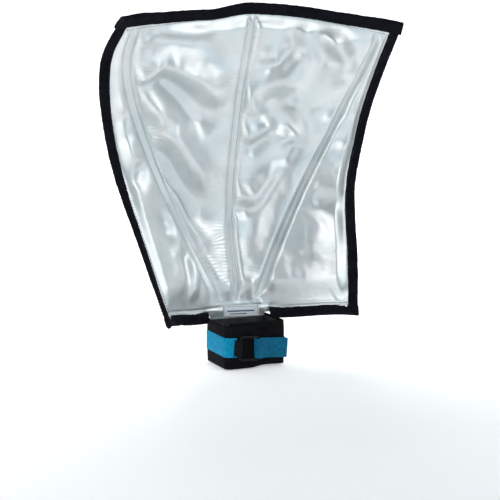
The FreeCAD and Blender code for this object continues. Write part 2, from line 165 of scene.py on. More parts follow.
def panel_point(along, share, depth):
    """Points of the panel: along the curve from the middle, up by a share, behind by depth."""
    angle_all = np.radians(through(CURL_AT, CURL_DEGREES, share))
    radius = half_width(share) / angle_all
    angle = along / radius
    x = (radius + depth) * np.sin(angle)
    y = through(CENTRE_AT, CENTRE_BACK, share) - radius + (radius + depth) * np.cos(angle)
    z = FOOT + TALL * share
    points = np.stack(np.broadcast_arrays(x, y, z), axis=-1)
    return points + slack(along / half_width(share), np.asarray(share, float))


def slack(across, share):
    """How the limp sheet departs from its even curve: sway of its sides, a drooping upper
    left corner and a sagging foot.  across runs from -1 at the left edge to 1 at the right."""
    sway = np.where(across < 0, through(SWAY_AT, SWAY_LEFT, share), through(SWAY_AT, SWAY_RIGHT, share))
    high = ramp(share, 0.80, 1.03)
    corner = ramp(-across, 0.45, 1.05) * high
    left_drop = 9.0 * ramp(-across, 0.0, 0.32) - 4.0 * ramp(-across, 0.6, 0.95)
    drop = left_drop + 3.0 * bell(across - 0.65, 0.25)
    low = 1 - ramp(share, 0.0, 0.16)
    lift = np.where(across < 0, FOOT_LIFT_LEFT, FOOT_LIFT_RIGHT) * ramp(np.abs(across), 0.28, 1.05)
    x = across**2 * sway + CORNER_IN * corner
    y = -CORNER_FORWARD * corner
    z = (lift - FOOT_SAG) * low - drop * high
    return np.stack(np.broadcast_arrays(x, y, z), axis=-1)


def settle(points, depth):
    """Draw the foot of the panel in to the straight top of the belt's back pad."""
    low, high = PAD_Y
    target = (low + high) / 2 + (depth - THICK / 2) * NECK_SQUEEZE
    near_foot = 1 - ramp(points[..., 2], FOOT - 4, FOOT + 14)
    near_neck = 1 - ramp(np.abs(points[..., 0]), NECK_HALF - 2, NECK_HALF + 15)
    points = points.copy()
    points[..., 1] += near_foot * near_neck * (target - points[..., 1])
    return points


def panel_normal(along, share):
    """Unit normals that look out of the silver side."""
    step = 0.5
    across = panel_point(along + step, share, 0.0) - panel_point(along - step, share, 0.0)
    up = panel_point(along, share + step / TALL, 0.0) - panel_point(along, share - step / TALL, 0.0)
    return unit(np.cross(across, up))


def rod_spread(share):
    """Distance of the outer rods from the middle: they fan out and run more and more upright."""
    return ROD_FOOT + (ROD_TOP - ROD_FOOT) * (1 - np.maximum(0, 1 - np.asarray(share))**ROD_FAN)


PAD_Y = (node_box("back_pad")[0][1], node_box("back_pad")[1][1])


# ================================================================ noise and folds
def edge_tuck(side, top, bottom, along):
    """How far each layer draws in towards the middle of the thickness near the edges."""
    rim = 1 - ramp(np.minimum(side, top) - BINDING, -4, 26)
    foot = (1 - ramp(bottom - BINDING, -4, 26)) * ramp(np.abs(along), NECK_HALF - 11, NECK_HALF + 3)
    return EDGE_TUCK * np.maximum(rim, foot)


def above(value, floor, soft=0.8):
    """The value, eased so that it never falls below the floor."""
    return floor + soft * np.logaddexp(0, (value - floor) / soft)


def value_noise(x, y, scale, seed):
    """Smooth random values between -1 and 1 on a grid of the given spacing."""
    table = np.random.RandomState(seed).uniform(-1, 1, (256, 256))
    gx, gy = x / scale, y / scale
    ix, iy = np.floor(gx).astype(int), np.floor(gy).astype(int)
    fx, fy = gx - ix, gy - iy
    fx, fy = fx**3 * (fx * (6 * fx - 15) + 10), fy**3 * (fy * (6 * fy - 15) + 10)
    a = table[ix % 256, iy % 256]
    b = table[(ix + 1) % 256, iy % 256]
    c = table[ix % 256, (iy + 1) % 256]
    d = table[(ix + 1) % 256, (iy + 1) % 256]
    return a * (1 - fx) * (1 - fy) + b * fx * (1 - fy) + c * (1 - fx) * fy + d * fx * fy


def stroke(x, y, points, width, height):
    """A fold along a line of points: a ridge, or a valley where height is below zero.  It fades
    at both ends, is steep on its lower side, and width may differ from end to end."""
    points = np.array(points, float)
    runs = np.linalg.norm(np.diff(points, axis=0), axis=1)
    nearest = np.full(x.shape, 1e9)
    share = np.zeros(x.shape)
    upper = np.zeros(x.shape)
    for k, run in enumerate(runs):
        ahead = (points[k + 1] - points[k]) / run
        up = np.array([-ahead[1], ahead[0]])
        up = up * np.sign(up @ UPPER_SIDE)
        from_x, from_y = x - points[k][0], y - points[k][1]
        t = np.clip(from_x * ahead[0] + from_y * ahead[1], 0, run)
        distance = np.hypot(from_x - t * ahead[0], from_y - t * ahead[1])
        closer = distance < nearest
        nearest = np.where(closer, distance, nearest)
        share = np.where(closer, (runs[:k].sum() + t) / runs.sum(), share)
        upper = np.where(closer, from_x * up[0] + from_y * up[1] > 0, upper)
    start_width, end_width = width if isinstance(width, tuple) else (width, width)
    local = (start_width + (end_width - start_width) * share) * np.where(upper, 1.4, 0.8)
    fade = ramp(share, -0.02, 0.22) * (1 - ramp(share, 0.7, 1.04))
    return height * fade * bell(nearest, local)


# Folds of the silver sheet: points as (along, height above the foot), width, height.
FOLDS = (
    # pleat that springs from the left channel, and the two broad folds that fall away from it
    (((-150, 300), (-125, 315), (-120, 335)), 8, 8),
    (((-120, 330), (-70, 305), (-15, 270)), (12, 20), 13),
    (((-125, 310), (-75, 275), (-35, 235)), (11, 20), -12),
    (((-145, 290), (-110, 255), (-75, 205), (-35, 150)), (12, 22), 14),
    (((-120, 225), (-95, 190), (-65, 145), (-40, 95)), (12, 20), -13),
    (((-100, 170), (-75, 115), (-50, 70)), 12, 8),
    # pocket below the pleat
    (((-140, 275), (-125, 250), (-120, 235)), 9, -5),
    (((-110, 245), (-90, 240)), 8, -4),
    # level folds near the top
    (((-130, 367), (-50, 367)), 12, 6),
    (((-150, 350), (-90, 348), (-30, 344)), 13, -8),
    (((-105, 328), (-30, 322)), 12, -4),
    # left strip
    (((-180, 270), (-155, 265)), 9, 5),
    (((-180, 260), (-155, 250)), 8, -4),
    (((-165, 225), (-145, 190)), 12, 4),
    (((-135, 200), (-150, 165)), 10, -4),
    (((-110, 140), (-105, 85)), 10, -4),
    (((-100, 110), (-100, 60), (-95, 30)), 14, 6),
    (((-85, 85), (-85, 25)), 8, -4),
    (((-70, 80), (-70, 20)), 11, 5),
    (((-60, 50), (-60, 15)), 7, -4),
    # swirl beside the top of the middle channel
    (((45, 370), (65, 345), (45, 320), (10, 320)), 10, -8),
    (((15, 330), (45, 335)), 9, 7),
    (((5, 300), (25, 300), (45, 315)), 8, -4),
    (((5, 290), (45, 305), (90, 300)), (8, 18), 6),
    (((5, 290), (15, 270), (25, 255)), (7, 11), 7),
    (((45, 290), (55, 260), (80, 225)), 16, -8),
    (((65, 285), (90, 245), (110, 215)), 10, 5),
    # upper right
    (((60, 370), (85, 335), (100, 320)), 12, 5),
    (((75, 370), (110, 325)), 12, -5),
    (((95, 370), (130, 335), (135, 290)), 16, 10),
    (((120, 370), (145, 340), (150, 315)), 10, -5),
    (((100, 275), (130, 255)), 12, -4),
    # slanting folds right of the middle channel
    (((50, 255), (30, 235), (5, 225)), 10, 8),
    (((45, 235), (15, 205)), 12, -5),
    (((80, 235), (60, 220)), 9, 5),
    (((85, 225), (70, 190)), 12, -5),
    (((5, 145), (35, 150), (50, 175), (65, 195)), 12, 9),
    (((5, 135), (30, 130)), 10, -5),
    (((75, 200), (45, 150), (30, 100), (15, 60)), 18, -4),
    (((95, 190), (70, 140), (50, 90), (30, 50)), 22, 4),
    # right strip
    (((115, 160), (170, 155)), 12, 3),
    (((115, 145), (160, 135)), 12, -3),
    (((110, 130), (90, 80), (75, 45)), 20, 2),
    (((130, 125), (110, 85), (105, 60)), 20, -3),
    (((165, 115), (135, 95)), 22, 2),
    (((140, 260), (165, 255)), 9, 3),
    (((135, 225), (160, 220)), 9, -3),
    # low on the right, and the pleats above the label
    (((40, 40), (70, 40), (95, 45)), 14, 5),
    (((35, 40), (35, 15)), 7, -4),
    (((25, 45), (20, 15)), 7, 5),
    (((5, 40), (5, 15)), 6, -4),
    (((-10, 40), (-5, 15)), 6, 4),
)


def channel_distance(along, share, side):
    """Distance from a rod channel, measured square to the way it runs."""
    spread = side * rod_spread(share)
    lean = side * (rod_spread(share + 0.005) - rod_spread(share - 0.005)) / (0.01 * TALL)
    return (along - spread) / np.sqrt(1 + lean**2)


def edge_distance(along, share):
    """Distances to the nearer side edge, to the arched top edge and to the foot."""
    side = half_width(share) - np.abs(along)
    top_share = 1 - ARCH_SHARE * (along / half_width(share))**2
    top = (top_share - share) * TALL
    bottom = share * TALL
    return side, top, bottom


def smooth(field, spread):
    """The field blurred by a bell of the given spread, in cells."""
    reach = int(3 * spread)
    kernel = bell(np.arange(-reach, reach + 1), spread * 1.414)
    kernel /= kernel.sum()

    def blur(line):
        """One row or column, blurred."""
        return np.convolve(np.pad(line, reach, "edge"), kernel, "valid")
    for axis in (0, 1):
        field = np.apply_along_axis(blur, axis, field)
    return field


CELL = 1.25
FIELD_LOW = np.array([-205.0, -12.0])
FIELD_HIGH = (206, 415)


def loose_field():
    """Height of the loose cloth over a flat grid of (along, height above the foot)."""
    along, height = np.meshgrid(np.arange(FIELD_LOW[0], FIELD_HIGH[0], CELL),
                                np.arange(FIELD_LOW[1], FIELD_HIGH[1], CELL), indexing="ij")
    out = np.full_like(along, BILLOW)
    for points, width, tall in FOLDS:
        out += stroke(along, height, points, width, tall * FOLD_DEPTH)
    # broad unevenness that runs askew
    slant = along * 0.8 + height * 0.6
    other = -along * 0.6 + height * 0.8
    out += 2.0 * value_noise(slant, other * 0.6, 62, 3)
    out += 1.2 * value_noise(slant, other * 0.45, 30, 4)
    out = smooth(out, FOLD_BLUR / CELL)
    out += 0.22 * value_noise(along, height, 9, 6)
    return out


LOOSE = loose_field()


def loose_height(along, height):
    """The loose cloth's height, read between the cells of the grid."""
    x = np.clip((along - FIELD_LOW[0]) / CELL, 0, LOOSE.shape[0] - 2)
    y = np.clip((height - FIELD_LOW[1]) / CELL, 0, LOOSE.shape[1] - 2)
    ix, iy = x.astype(int), y.astype(int)
    fx, fy = x - ix, y - iy
    return ((LOOSE[ix, iy] * (1 - fx) + LOOSE[ix + 1, iy] * fx) * (1 - fy)
            + (LOOSE[ix, iy + 1] * (1 - fx) + LOOSE[ix + 1, iy + 1] * fx) * fy)


def channel_ends(height, top):
    """1 along the channels, easing to 0 above the label and below the top binding."""
    return ramp(height, 20, 34) * ramp(top, BINDING - 1, BINDING + 8)


def channel_relief(channel, along, height, share, top):
    """The rounded rise of a rod's channel, between its two sunken seams."""
    signed = channel_distance(along, share, channel.rod)
    rise = channel.rise * bell(signed - 0.6, np.where(signed < 0.6, channel.slow, channel.steep))
    return channel_ends(height, top) * (rise - 1.3 * bell(np.abs(signed) - channel.seam, 1.3))


def channel_puckers(channel, along, height, share):
    """Fine rungs of gathered cloth beside a channel's seams."""
    signed = channel_distance(along, share, channel.rod)
    beyond = np.clip(np.abs(signed) - channel.seam + 0.9, 0, None)
    reach = np.where(signed > 0, channel.pucker_right, channel.pucker_left)
    band = (ramp(height, 24, 60) * np.exp(-beyond / reach)
            * ramp(np.abs(signed), channel.seam - 1.9, channel.seam + 0.6))
    wave = np.sin(2 * math.pi * height / 4.4 + 3 * value_noise(along, height, 14, 15 + channel.rod))
    return 0.28 * band * wave


def edge_gathers(distance, run, seed):
    """Small gathers beside the binding; run is the way along the edge."""
    fade = np.exp(-np.clip(distance, 0, None) / 9.0) * ramp(distance, -2.0, 2.5)
    ripple = value_noise(run, distance * 0.5, 7.5, seed) + 0.5 * value_noise(run, distance * 0.4, 19, seed)
    return 1.1 * fade * ripple * (0.6 + 0.6 * value_noise(run, distance, 40, seed + 4))


def silver_height(along, share):
    """How far the silver sheet stands out of its smooth curve."""
    height = share * TALL
    side, top, bottom = edge_distance(along, share)
    from_tape = np.minimum(side, top) - BINDING
    out = above(loose_height(along, height), LOWEST)
    # the cloth is held flat where it is sewn: along channels, hem and binding
    hold = ramp(from_tape, -1.0, 13.0) * ramp(height, HEM, HEM + 30)
    for channel in CHANNELS:
        distance = channel_distance(along, share, channel.rod)
        hold *= 1 - ramp(height, 12, 30) * 0.95 * bell(distance, channel.reach)
    out *= hold
    for channel in CHANNELS:
        out += channel_puckers(channel, along, height, share)
        out += channel_relief(channel, along, height, share, top)
    out += edge_gathers(side - BINDING, height, 21)
    out += edge_gathers(top - BINDING, along, 22)
    # hem: a double layer with small gathers above and below its seam
    seam = height - HEM
    gather = value_noise(along + 0.4 * seam, height * 0.3, 6.5, 31)
    gather *= 0.7 + 0.7 * value_noise(along, height, 45, 32)
    out += 0.8 * gather * np.exp(-np.abs(seam - 2) / 8.0) * ramp(np.abs(seam), 0.3, 3.0)
    out += 1.0 * (1 - ramp(seam, -0.8, 0.8)) - 1.5 * bell(seam, 1.5)
    # tucked under the binding
    out -= 0.8 * (1 - ramp(from_tape, -3.0, 1.0))
    return above(out, LOWEST) - edge_tuck(side, top, bottom, along)


def backing_height(along, share):
    """How far the black backing stands out of its smooth curve, away from the silver."""
    height = share * TALL
    side, top, bottom = edge_distance(along, share)
    from_tape = np.minimum(side, top) - BINDING
    slant = along * 0.7 - height * 0.7
    other = along * 0.7 + height * 0.7
    out = 1.8 * value_noise(slant, other * 0.5, 58, 41) + 0.8 * value_noise(slant, other * 0.5, 24, 42)
    hold = np.ones_like(along)
    for channel in CHANNELS:
        hold *= 1 - 0.9 * bell(channel_distance(along, share, channel.rod), 7.0)
    out *= hold * ramp(from_tape, -1.0, 13.0) * ramp(height, HEM - 4, HEM + 14)
    for channel in CHANNELS:
        signed = channel_distance(along, share, channel.rod)
        beyond = np.abs(signed) - channel.seam
        rise = 1.2 * bell(signed, channel.seam * 0.6) - 0.6 * bell(beyond, 1.4)
        out += channel_ends(height, top) * rise
        ripple = np.sin(2 * math.pi * height / 6.5 + 4 * value_noise(along, height, 18, 45 + channel.rod))
        out += (0.2 * ripple * np.exp(-np.clip(beyond, 0, None) / 9.0)
                * ramp(np.abs(signed), channel.seam - 1, channel.seam + 1.5))
    ripple = np.sin(2 * math.pi * np.where(side < top, height, along) / 12.0
                    + 4 * value_noise(along, height, 30, 48))
    out += 0.5 * ripple * np.exp(-np.clip(from_tape, 0, None) / 9.0)
    out -= 0.7 * (1 - ramp(from_tape, -3.0, 1.0))
    return above(out + 0.5, LOWEST) - edge_tuck(side, top, bottom, along)


def silver_point(along, share, lift=0.0):
    """Points of the silver sheet, or of what lies on it, and the way that they face."""
    normal = panel_normal(along, share)
    base = settle(panel_point(along, share, 0.0), 0.0)
    return base + normal * (silver_height(along, share) + lift)[..., None], normal


def backing_point(along, share):
    """Points of the black backing, and the way that they face."""
    normal = panel_normal(along, share)
    base = settle(panel_point(along, share, THICK), THICK)
    return base - normal * backing_height(along, share)[..., None], -normal


# ================================================================ creases between bodies
JOINTS = {joint["name"]: joint for joint in frame["joints"]}


def joint_point(name):
    """A point on a joint's axis, in millimetres."""
    return np.array(JOINTS[name]["pos_m"]) / MM


MIDDLE_Z = joint_point("middle_bend")[2]
TOP_Z = joint_point("top_bend")[2]
BEND_BELOW, BEND_ABOVE = 20.0, 20.0
CORNERS_BELOW = 250.0


def crease(side):
    """A point on a lower corner's crease, and the way that leads square off it to the corner."""
    name = "left_corner_fold" if side < 0 else "right_corner_fold"
    point = joint_point(name)
    line = np.array(JOINTS[name]["axis"])
    line = line / np.linalg.norm(line) * np.sign(line[2])
    # the crease's outward way is read off the panel at this place, above the joint's point
    along, rise = side * 95.0, 0.2
    share = (point[2] - FOOT) / TALL + rise
    outward = -panel_normal(np.array(along), np.array(share))
    across = np.cross(line, outward) * -side
    return point, across / np.linalg.norm(across)


CREASES = {side: crease(side) for side in (-1, 1)}


def past_crease(points, side):
    """How far points lie beyond a lower corner's crease, towards the corner."""
    origin, across = CREASES[side]
    return (points - origin) @ across


REGIONS = ("neck", "lower", "corner_left", "corner_right", "middle", "top")
MIDDLE_FROM = MIDDLE_Z - BEND_BELOW - 6.0
TOP_FROM = TOP_Z - BEND_BELOW - 6.0


def region_of(points):
    """Index of the region that each point of the panel belongs to."""
    region = np.full(points.shape[:-1], REGIONS.index("lower"))
    region[points[..., 2] > MIDDLE_FROM] = REGIONS.index("middle")
    region[points[..., 2] > TOP_FROM] = REGIONS.index("top")
    low = points[..., 2] < CORNERS_BELOW
    region[low & (past_crease(points, -1) > 0)] = REGIONS.index("corner_left")
    region[low & (past_crease(points, 1) > 0)] = REGIONS.index("corner_right")
    neck = (np.abs(points[..., 0]) < NECK_HALF) & (points[..., 2] < FOOT + HEM)
    region[neck] = REGIONS.index("neck")
    return region


def bind_to_frame(piece, region):
    """Let a piece of the lower region ride on the lower panel; other pieces only have their placing baked
    into their points.
    """
    if region == "lower":
        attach(piece, "lower_panel")
    elif region == "neck":
        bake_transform(piece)
    elif region == "middle":
        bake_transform(piece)
    elif region == "top":
        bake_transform(piece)
    else:
        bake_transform(piece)


# ================================================================ mesh making
def add_object(name, data):
    """An object with the given data, linked to the scene."""
    added = bpy.data.objects.new(name, data)
    bpy.context.scene.collection.objects.link(added)
    return added


def make_mesh(name, vertices, faces, material, normals=None):
    """An object from vertices in millimetres and faces; normals are kept where they are given."""
    mesh = bpy.data.meshes.new(name)
    mesh.from_pydata((np.asarray(vertices) * MM).tolist(), [], [list(map(int, f)) for f in faces])
    mesh.validate()
    mesh.polygons.foreach_set("use_smooth", [True] * len(mesh.polygons))
    mesh.materials.append(material)
    mesh.update()
    if normals is not None:
        mesh.normals_split_custom_set_from_vertices(np.asarray(normals).tolist())
    return add_object(name, mesh)


def grid_faces(rows, columns, wrap=False):
    """Quads of a grid of rows by columns; wrap joins the last column to the first."""
    r, c = np.meshgrid(np.arange(rows - 1), np.arange(columns if wrap else columns - 1), indexing="ij")
    c_next = (c + 1) % columns
    quads = np.stack([r * columns + c, r * columns + c_next,
                      (r + 1) * columns + c_next, (r + 1) * columns + c], axis=-1)
    return quads.reshape(-1, 4)


def grid_normals(points):
    """Smooth normals of a grid of points."""
    across = np.gradient(points, axis=1)
    up = np.gradient(points, axis=0)
    normal = np.cross(across, up)
    return normal / np.maximum(np.linalg.norm(normal, axis=-1, keepdims=True), 1e-9)


def sub_mesh(points, normals, faces, keep):
    """The kept faces with only the vertices that they use."""
    kept = faces[keep]
    used, inverse = np.unique(kept, return_inverse=True)
    return points[used], inverse.reshape(kept.shape), normals[used]


def panel_grid(columns, rows):
    """Along and share of a grid that covers the panel up to the sheets' inset."""
    u = np.linspace(-1, 1, columns)
    v = np.linspace(-NECK_TUCK / TALL, 1, rows)
    v, u = np.meshgrid(v, u, indexing="ij")
    share = v * (1 - ARCH_SHARE * u**2 - SHEET_INSET / TALL)
    along = u * (half_width(share) - SHEET_INSET)
    return along, share


def laid_flat(along, share):
    """The same places on the cloth before it was curved and folded."""
    return np.stack([along, np.zeros_like(along), share * TALL * FLAT_SHARE], axis=-1)


# ================================================================ materials
def new_material(name, sockets):
    """A material whose shader has the given values on its sockets."""
    material = bpy.data.materials.new(name)
    material.use_nodes = True
    tree = material.node_tree
    shader = tree.nodes["Principled BSDF"]
    for socket, value in sockets.items():
        shader.inputs[socket].default_value = value
    return material, tree, shader


def add_node(tree, kind, inputs=None, **settings):
    """A node with the given settings and input values."""
    node = tree.nodes.new(kind)
    for key, value in settings.items():
        setattr(node, key, value)
    for key, value in (inputs or {}).items():
        node.inputs[key].default_value = value
    return node


def texture_space(tree, scale=(1, 1, 1)):
    """Object coordinates, stretched."""
    place = add_node(tree, "ShaderNodeTexCoord")
    mapping = add_node(tree, "ShaderNodeMapping", {"Scale": scale})
    tree.links.new(place.outputs["Object"], mapping.inputs["Vector"])
    return mapping.outputs["Vector"]


def add_texture(tree, space, kind, inputs, output, **settings):
    """One output of a procedural texture laid in the given space."""
    texture = add_node(tree, kind, inputs, **settings)
    tree.links.new(space, texture.inputs["Vector"])
    return texture.outputs[output]


def add_noise(tree, space, scale, detail=3.0, roughness=0.5):
    """Cloudy noise."""
    return add_texture(tree, space, "ShaderNodeTexNoise",
                       {"Scale": scale, "Detail": detail, "Roughness": roughness}, "Fac")


def add_bump(tree, shader, height, strength, distance, chain=None):
    """Relief on the shader's surface, over the relief of the chain where there is one."""
    bump = add_node(tree, "ShaderNodeBump", {"Strength": strength, "Distance": distance})
    tree.links.new(height, bump.inputs["Height"])
    if chain is not None:
        tree.links.new(chain, bump.inputs["Normal"])
    tree.links.new(bump.outputs["Normal"], shader.inputs["Normal"])
    return bump.outputs["Normal"]


def vary_colour(tree, shader, fac, dark, light, low=0.35, high=0.65):
    """Let the colour run from dark to light where fac runs from low to high."""
    blend = add_node(tree, "ShaderNodeValToRGB")
    for element, position, colour in zip(blend.color_ramp.elements, (low, high), (dark, light)):
        element.position = position
        element.color = (*colour, 1)
    tree.links.new(fac, blend.inputs["Fac"])
    tree.links.new(blend.outputs["Color"], shader.inputs["Base Color"])


def vary_roughness(tree, shader, fac, low, high):
    """Let the roughness run from low to high with fac."""
    rough = add_node(tree, "ShaderNodeMapRange", {"To Min": low, "To Max": high})
    tree.links.new(fac, rough.inputs["Value"])
    tree.links.new(rough.outputs["Result"], shader.inputs["Roughness"])


def silver_material():
    """Satin silver coated cloth with a very fine weave."""
    material, tree, shader = new_material("silver_cloth", {"Metallic": 0.88, "Specular IOR Level": 0.5})
    space = texture_space(tree)
    vary_colour(tree, shader, add_noise(tree, space, 22.0, 4.0), (0.66, 0.70, 0.71), (0.77, 0.785, 0.79))
    vary_roughness(tree, shader, add_noise(tree, space, 60.0, 3.0), 0.38, 0.47)
    weave = add_noise(tree, texture_space(tree, (1.0, 1.0, 3.0)), 900.0, 2.0)
    first = add_bump(tree, shader, weave, 0.10, 0.0002)
    creases = add_noise(tree, texture_space(tree, (0.4, 1.0, 2.4)), 130.0, 5.0, 0.6)
    add_bump(tree, shader, creases, 0.26, 0.0012, first)
    return material


def cloth_material(name, dark, light, scale, sheen, weave_strength=0.5):
    """Plain woven or knitted cloth."""
    material, tree, shader = new_material(name, {"Roughness": 0.9, "Specular IOR Level": 0.12,
                                                 "Sheen Weight": sheen, "Sheen Roughness": 0.5})
    space = texture_space(tree)
    vary_colour(tree, shader, add_noise(tree, space, 70.0, 5.0, 0.6), dark, light)
    weave = add_texture(tree, space, "ShaderNodeTexVoronoi", {"Scale": scale}, "Distance")
    first = add_bump(tree, shader, weave, weave_strength, 0.0006)
    add_bump(tree, shader, add_noise(tree, space, scale * 0.35, 4.0), 0.35, 0.0008, first)
    return material


def webbing_material(name, dark, light):
    """Webbing with ribs along its length and a short fuzz."""
    material, tree, shader = new_material(name, {"Roughness": 0.75, "Specular IOR Level": 0.14,
                                                 "Sheen Weight": 0.0, "Sheen Roughness": 0.4})
    space = texture_space(tree)
    vary_colour(tree, shader, add_noise(tree, space, 240.0, 4.0, 0.65), dark, light, 0.3, 0.7)
    rib = add_texture(tree, space, "ShaderNodeTexWave",
                      {"Scale": 190.0, "Distortion": 1.4, "Detail": 2.0, "Detail Scale": 6.0}, "Fac",
                      wave_type="BANDS", bands_direction="Z")
    first = add_bump(tree, shader, rib, 0.35, 0.0004)
    add_bump(tree, shader, add_noise(tree, space, 1500.0, 3.0), 0.5, 0.0004, first)
    return material


def plastic_material(name, colour, roughness):
    """Moulded plastic with a faint orange-peel."""
    material, tree, shader = new_material(name, {"Specular IOR Level": 0.16})
    space = texture_space(tree)
    cloud = add_noise(tree, space, 120.0, 3.0)
    lighter = tuple(c * 1.5 + 0.002 for c in colour)
    vary_colour(tree, shader, cloud, colour, lighter)
    vary_roughness(tree, shader, cloud, roughness - 0.06, roughness + 0.08)
    add_bump(tree, shader, add_noise(tree, space, 900.0, 2.0), 0.12, 0.0002)
    return material


def rubber_material():
    """Dimpled grip rubber."""
    material, tree, shader = new_material("grip_rubber", {"Specular IOR Level": 0.35, "Roughness": 0.6})
    space = texture_space(tree)
    vary_colour(tree, shader, add_noise(tree, space, 90.0, 3.0), (0.018, 0.018, 0.02), (0.035, 0.035, 0.037))
    dimple = add_texture(tree, space, "ShaderNodeTexVoronoi", {"Scale": 420.0, "Randomness": 0.15},
                         "Distance")
    add_bump(tree, shader, dimple, 0.6, 0.0006)
    return material


def wire_material():
    """Annealed aluminium wire with drawing marks."""
    material, tree, shader = new_material("rod_metal", {"Metallic": 1.0})
    marks = add_noise(tree, texture_space(tree, (1, 1, 0.1)), 900.0, 3.0)
    vary_colour(tree, shader, marks, (0.6, 0.6, 0.62), (0.75, 0.75, 0.76))
    vary_roughness(tree, shader, marks, 0.3, 0.5)
    return material


# a cloth has a name, its dark and light colour, its weave's scale, its sheen and its weave's strength
SILVER = silver_material()
BLACK_CLOTH = cloth_material("black_cloth", (0.0035, 0.0035, 0.0045), (0.0055, 0.0055, 0.0065), 1400.0, 0.015)
LOOP_TAPE = cloth_material("loop_tape", (0.0015, 0.0015, 0.004), (0.0055, 0.0055, 0.010), 620.0, 0.0, 0.9)
BELT_CLOTH = cloth_material("belt_cloth", (0.0015, 0.0015, 0.002), (0.005, 0.005, 0.006), 900.0, 0.0, 0.6)
BLUE_WEBBING = webbing_material("blue_webbing", (0.001, 0.165, 0.31), (0.003, 0.31, 0.53))
# a darker copy of the same blue webbing, for the turn round the ring's bar and the loose end: painted shade
BLUE_WEBBING_SHADED = webbing_material("blue_webbing_shaded", (0.0005, 0.07, 0.14), (0.002, 0.135, 0.24))
BLACK_WEBBING = webbing_material("black_webbing", (0.0015, 0.0015, 0.002), (0.006, 0.006, 0.007))
RING_PLASTIC = plastic_material("ring_plastic", (0.002, 0.002, 0.0025), 0.36)
GRIP_RUBBER = rubber_material()
ROD_METAL = wire_material()
LABEL_CLOTH = cloth_material("label_cloth", (0.74, 0.77, 0.80), (0.84, 0.86, 0.88), 1600.0, 0.1, 0.25)
LABEL_BLUE = cloth_material("label_thread", (0.30, 0.42, 0.62), (0.45, 0.58, 0.76), 1600.0, 0.1, 0.3)
LABEL_INK = cloth_material("label_ink", (0.07, 0.10, 0.25), (0.14, 0.18, 0.36), 1600.0, 0.1, 0.3)
SILVER_THREAD = cloth_material("silver_thread", (0.60, 0.63, 0.65), (0.75, 0.77, 0.79), 2500.0, 0.1, 0.3)
BLACK_THREAD = cloth_material("black_thread", (0.014, 0.014, 0.016), (0.035, 0.035, 0.038), 2500.0, 0.1, 0.3)


# ================================================================ sheets
# columns and rows of points
SILVER_POINTS = (341, 381)
BACKING_POINTS = (181, 181)
CAD_OF = {
    ("silver", "neck"): ["neck_panel"],
    ("silver", "lower"): ["face_lower"],
    ("silver", "corner_left"): ["face_left_corner"],
    ("silver", "corner_right"): ["face_right_corner"],
    ("silver", "middle"): ["face_middle"],
    ("silver", "top"): ["face_top"],
    ("backing", "lower"): ["back_lower"],
    ("backing", "corner_left"): ["back_left_corner"],
    ("backing", "corner_right"): ["back_right_corner"],
    ("backing", "middle"): ["back_middle"],
    ("backing", "top"): ["back_top"],
}


def cut_sheet(kind, points, normals, flat, material):
    """Cut one continuous sheet into its regions; flat is the same grid laid out flat."""
    rows, columns = points.shape[:2]
    faces = grid_faces(rows, columns)
    vertices = points.reshape(-1, 3)
    flat_vertices = flat.reshape(-1, 3)
    flat_normals = normals.reshape(-1, 3)
    centres = vertices[faces].mean(axis=1)
    region = region_of(centres)
    # below the inset there is cloth only at the neck
    above_inset = flat_vertices[faces].mean(axis=1)[:, 2] > SHEET_INSET
    in_sheet = above_inset | (np.abs(centres[:, 0]) < NECK_HALF - 4)
    for index, name in enumerate(REGIONS):
        keep = (region == index) & in_sheet
        part, part_faces, part_normals = sub_mesh(vertices, flat_normals, faces, keep)
        piece = make_mesh("%s_%s" % (kind, name), part, part_faces, material, part_normals)
        bind_to_frame(piece, name)
        if (kind, name) in CAD_OF:
            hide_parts(*CAD_OF[(kind, name)])


def build_silver():
    """The bright front sheet, with its folds, channels and hem."""
    along, share = panel_grid(*SILVER_POINTS)
    points, _ = silver_point(along, share)
    cut_sheet("silver", points, grid_normals(points), laid_flat(along, share), SILVER)


def build_backing():
    """The black back sheet, with its columns turned round so that it faces backward."""
    along, share = panel_grid(*BACKING_POINTS)
    points, _ = backing_point(along[:, ::-1], share[:, ::-1])
    cut_sheet("backing", points, grid_normals(points), laid_flat(along, share)[:, ::-1], BLACK_CLOTH)


# ================================================================ edge binding
# how far the top's and the foot's tape reaches past the edge, and its start beside the crease
TAPE_PAST, TAPE_CLEAR = 1.0, 0.3


def tape_profile(proud):
    """Cross-section of the folded tape: (distance in from the edge, depth) pairs, round the edge."""
    width = BINDING
    half = THICK / 2 - EDGE_TUCK + proud
    middle = THICK / 2
    face = EDGE_TUCK - proud
    front = [(width + 0.1, face + 1.1), (width, face + 0.5), (width - 0.9, face + 0.1)]
    front += [(d, face - 0.25 * math.sin(math.pi * (d - half) / (width - half)))
              for d in np.linspace(width - 2.6, half + 0.2, 6)]
    bend = [(half * (1 - math.cos(a)), middle - half * math.sin(a))
            for a in np.linspace(math.radians(80), math.radians(-80), 9)]
    back = [(d, THICK - depth) for d, depth in reversed(front)]
    return np.array(front + bend + back)


def tape(place, side, steps, proud, seed):
    """A strip of tape.  place says where a point of the right-hand strip lies, from its share of
    the run along the edge and its distance in from the edge; side is -1 for the mirrored strip."""
    profile = tape_profile(proud)
    run, distance = np.meshgrid(np.linspace(0, 1, steps), profile[:, 0], indexing="ij")
    depth = np.broadcast_to(profile[:, 1], run.shape)
    along, share = place(run, distance)
    along = side * along
    points = panel_point(along, share, 0.0) - panel_normal(along, share) * depth[..., None]
    fuzz = 0.22 * value_noise(points[..., 0] + points[..., 1], points[..., 2] + distance, 2.6, seed)
    fuzz += 0.25 * value_noise(points[..., 0] + points[..., 1], points[..., 2], 14, seed + 1)
    return points - grid_normals(points) * fuzz[..., None]


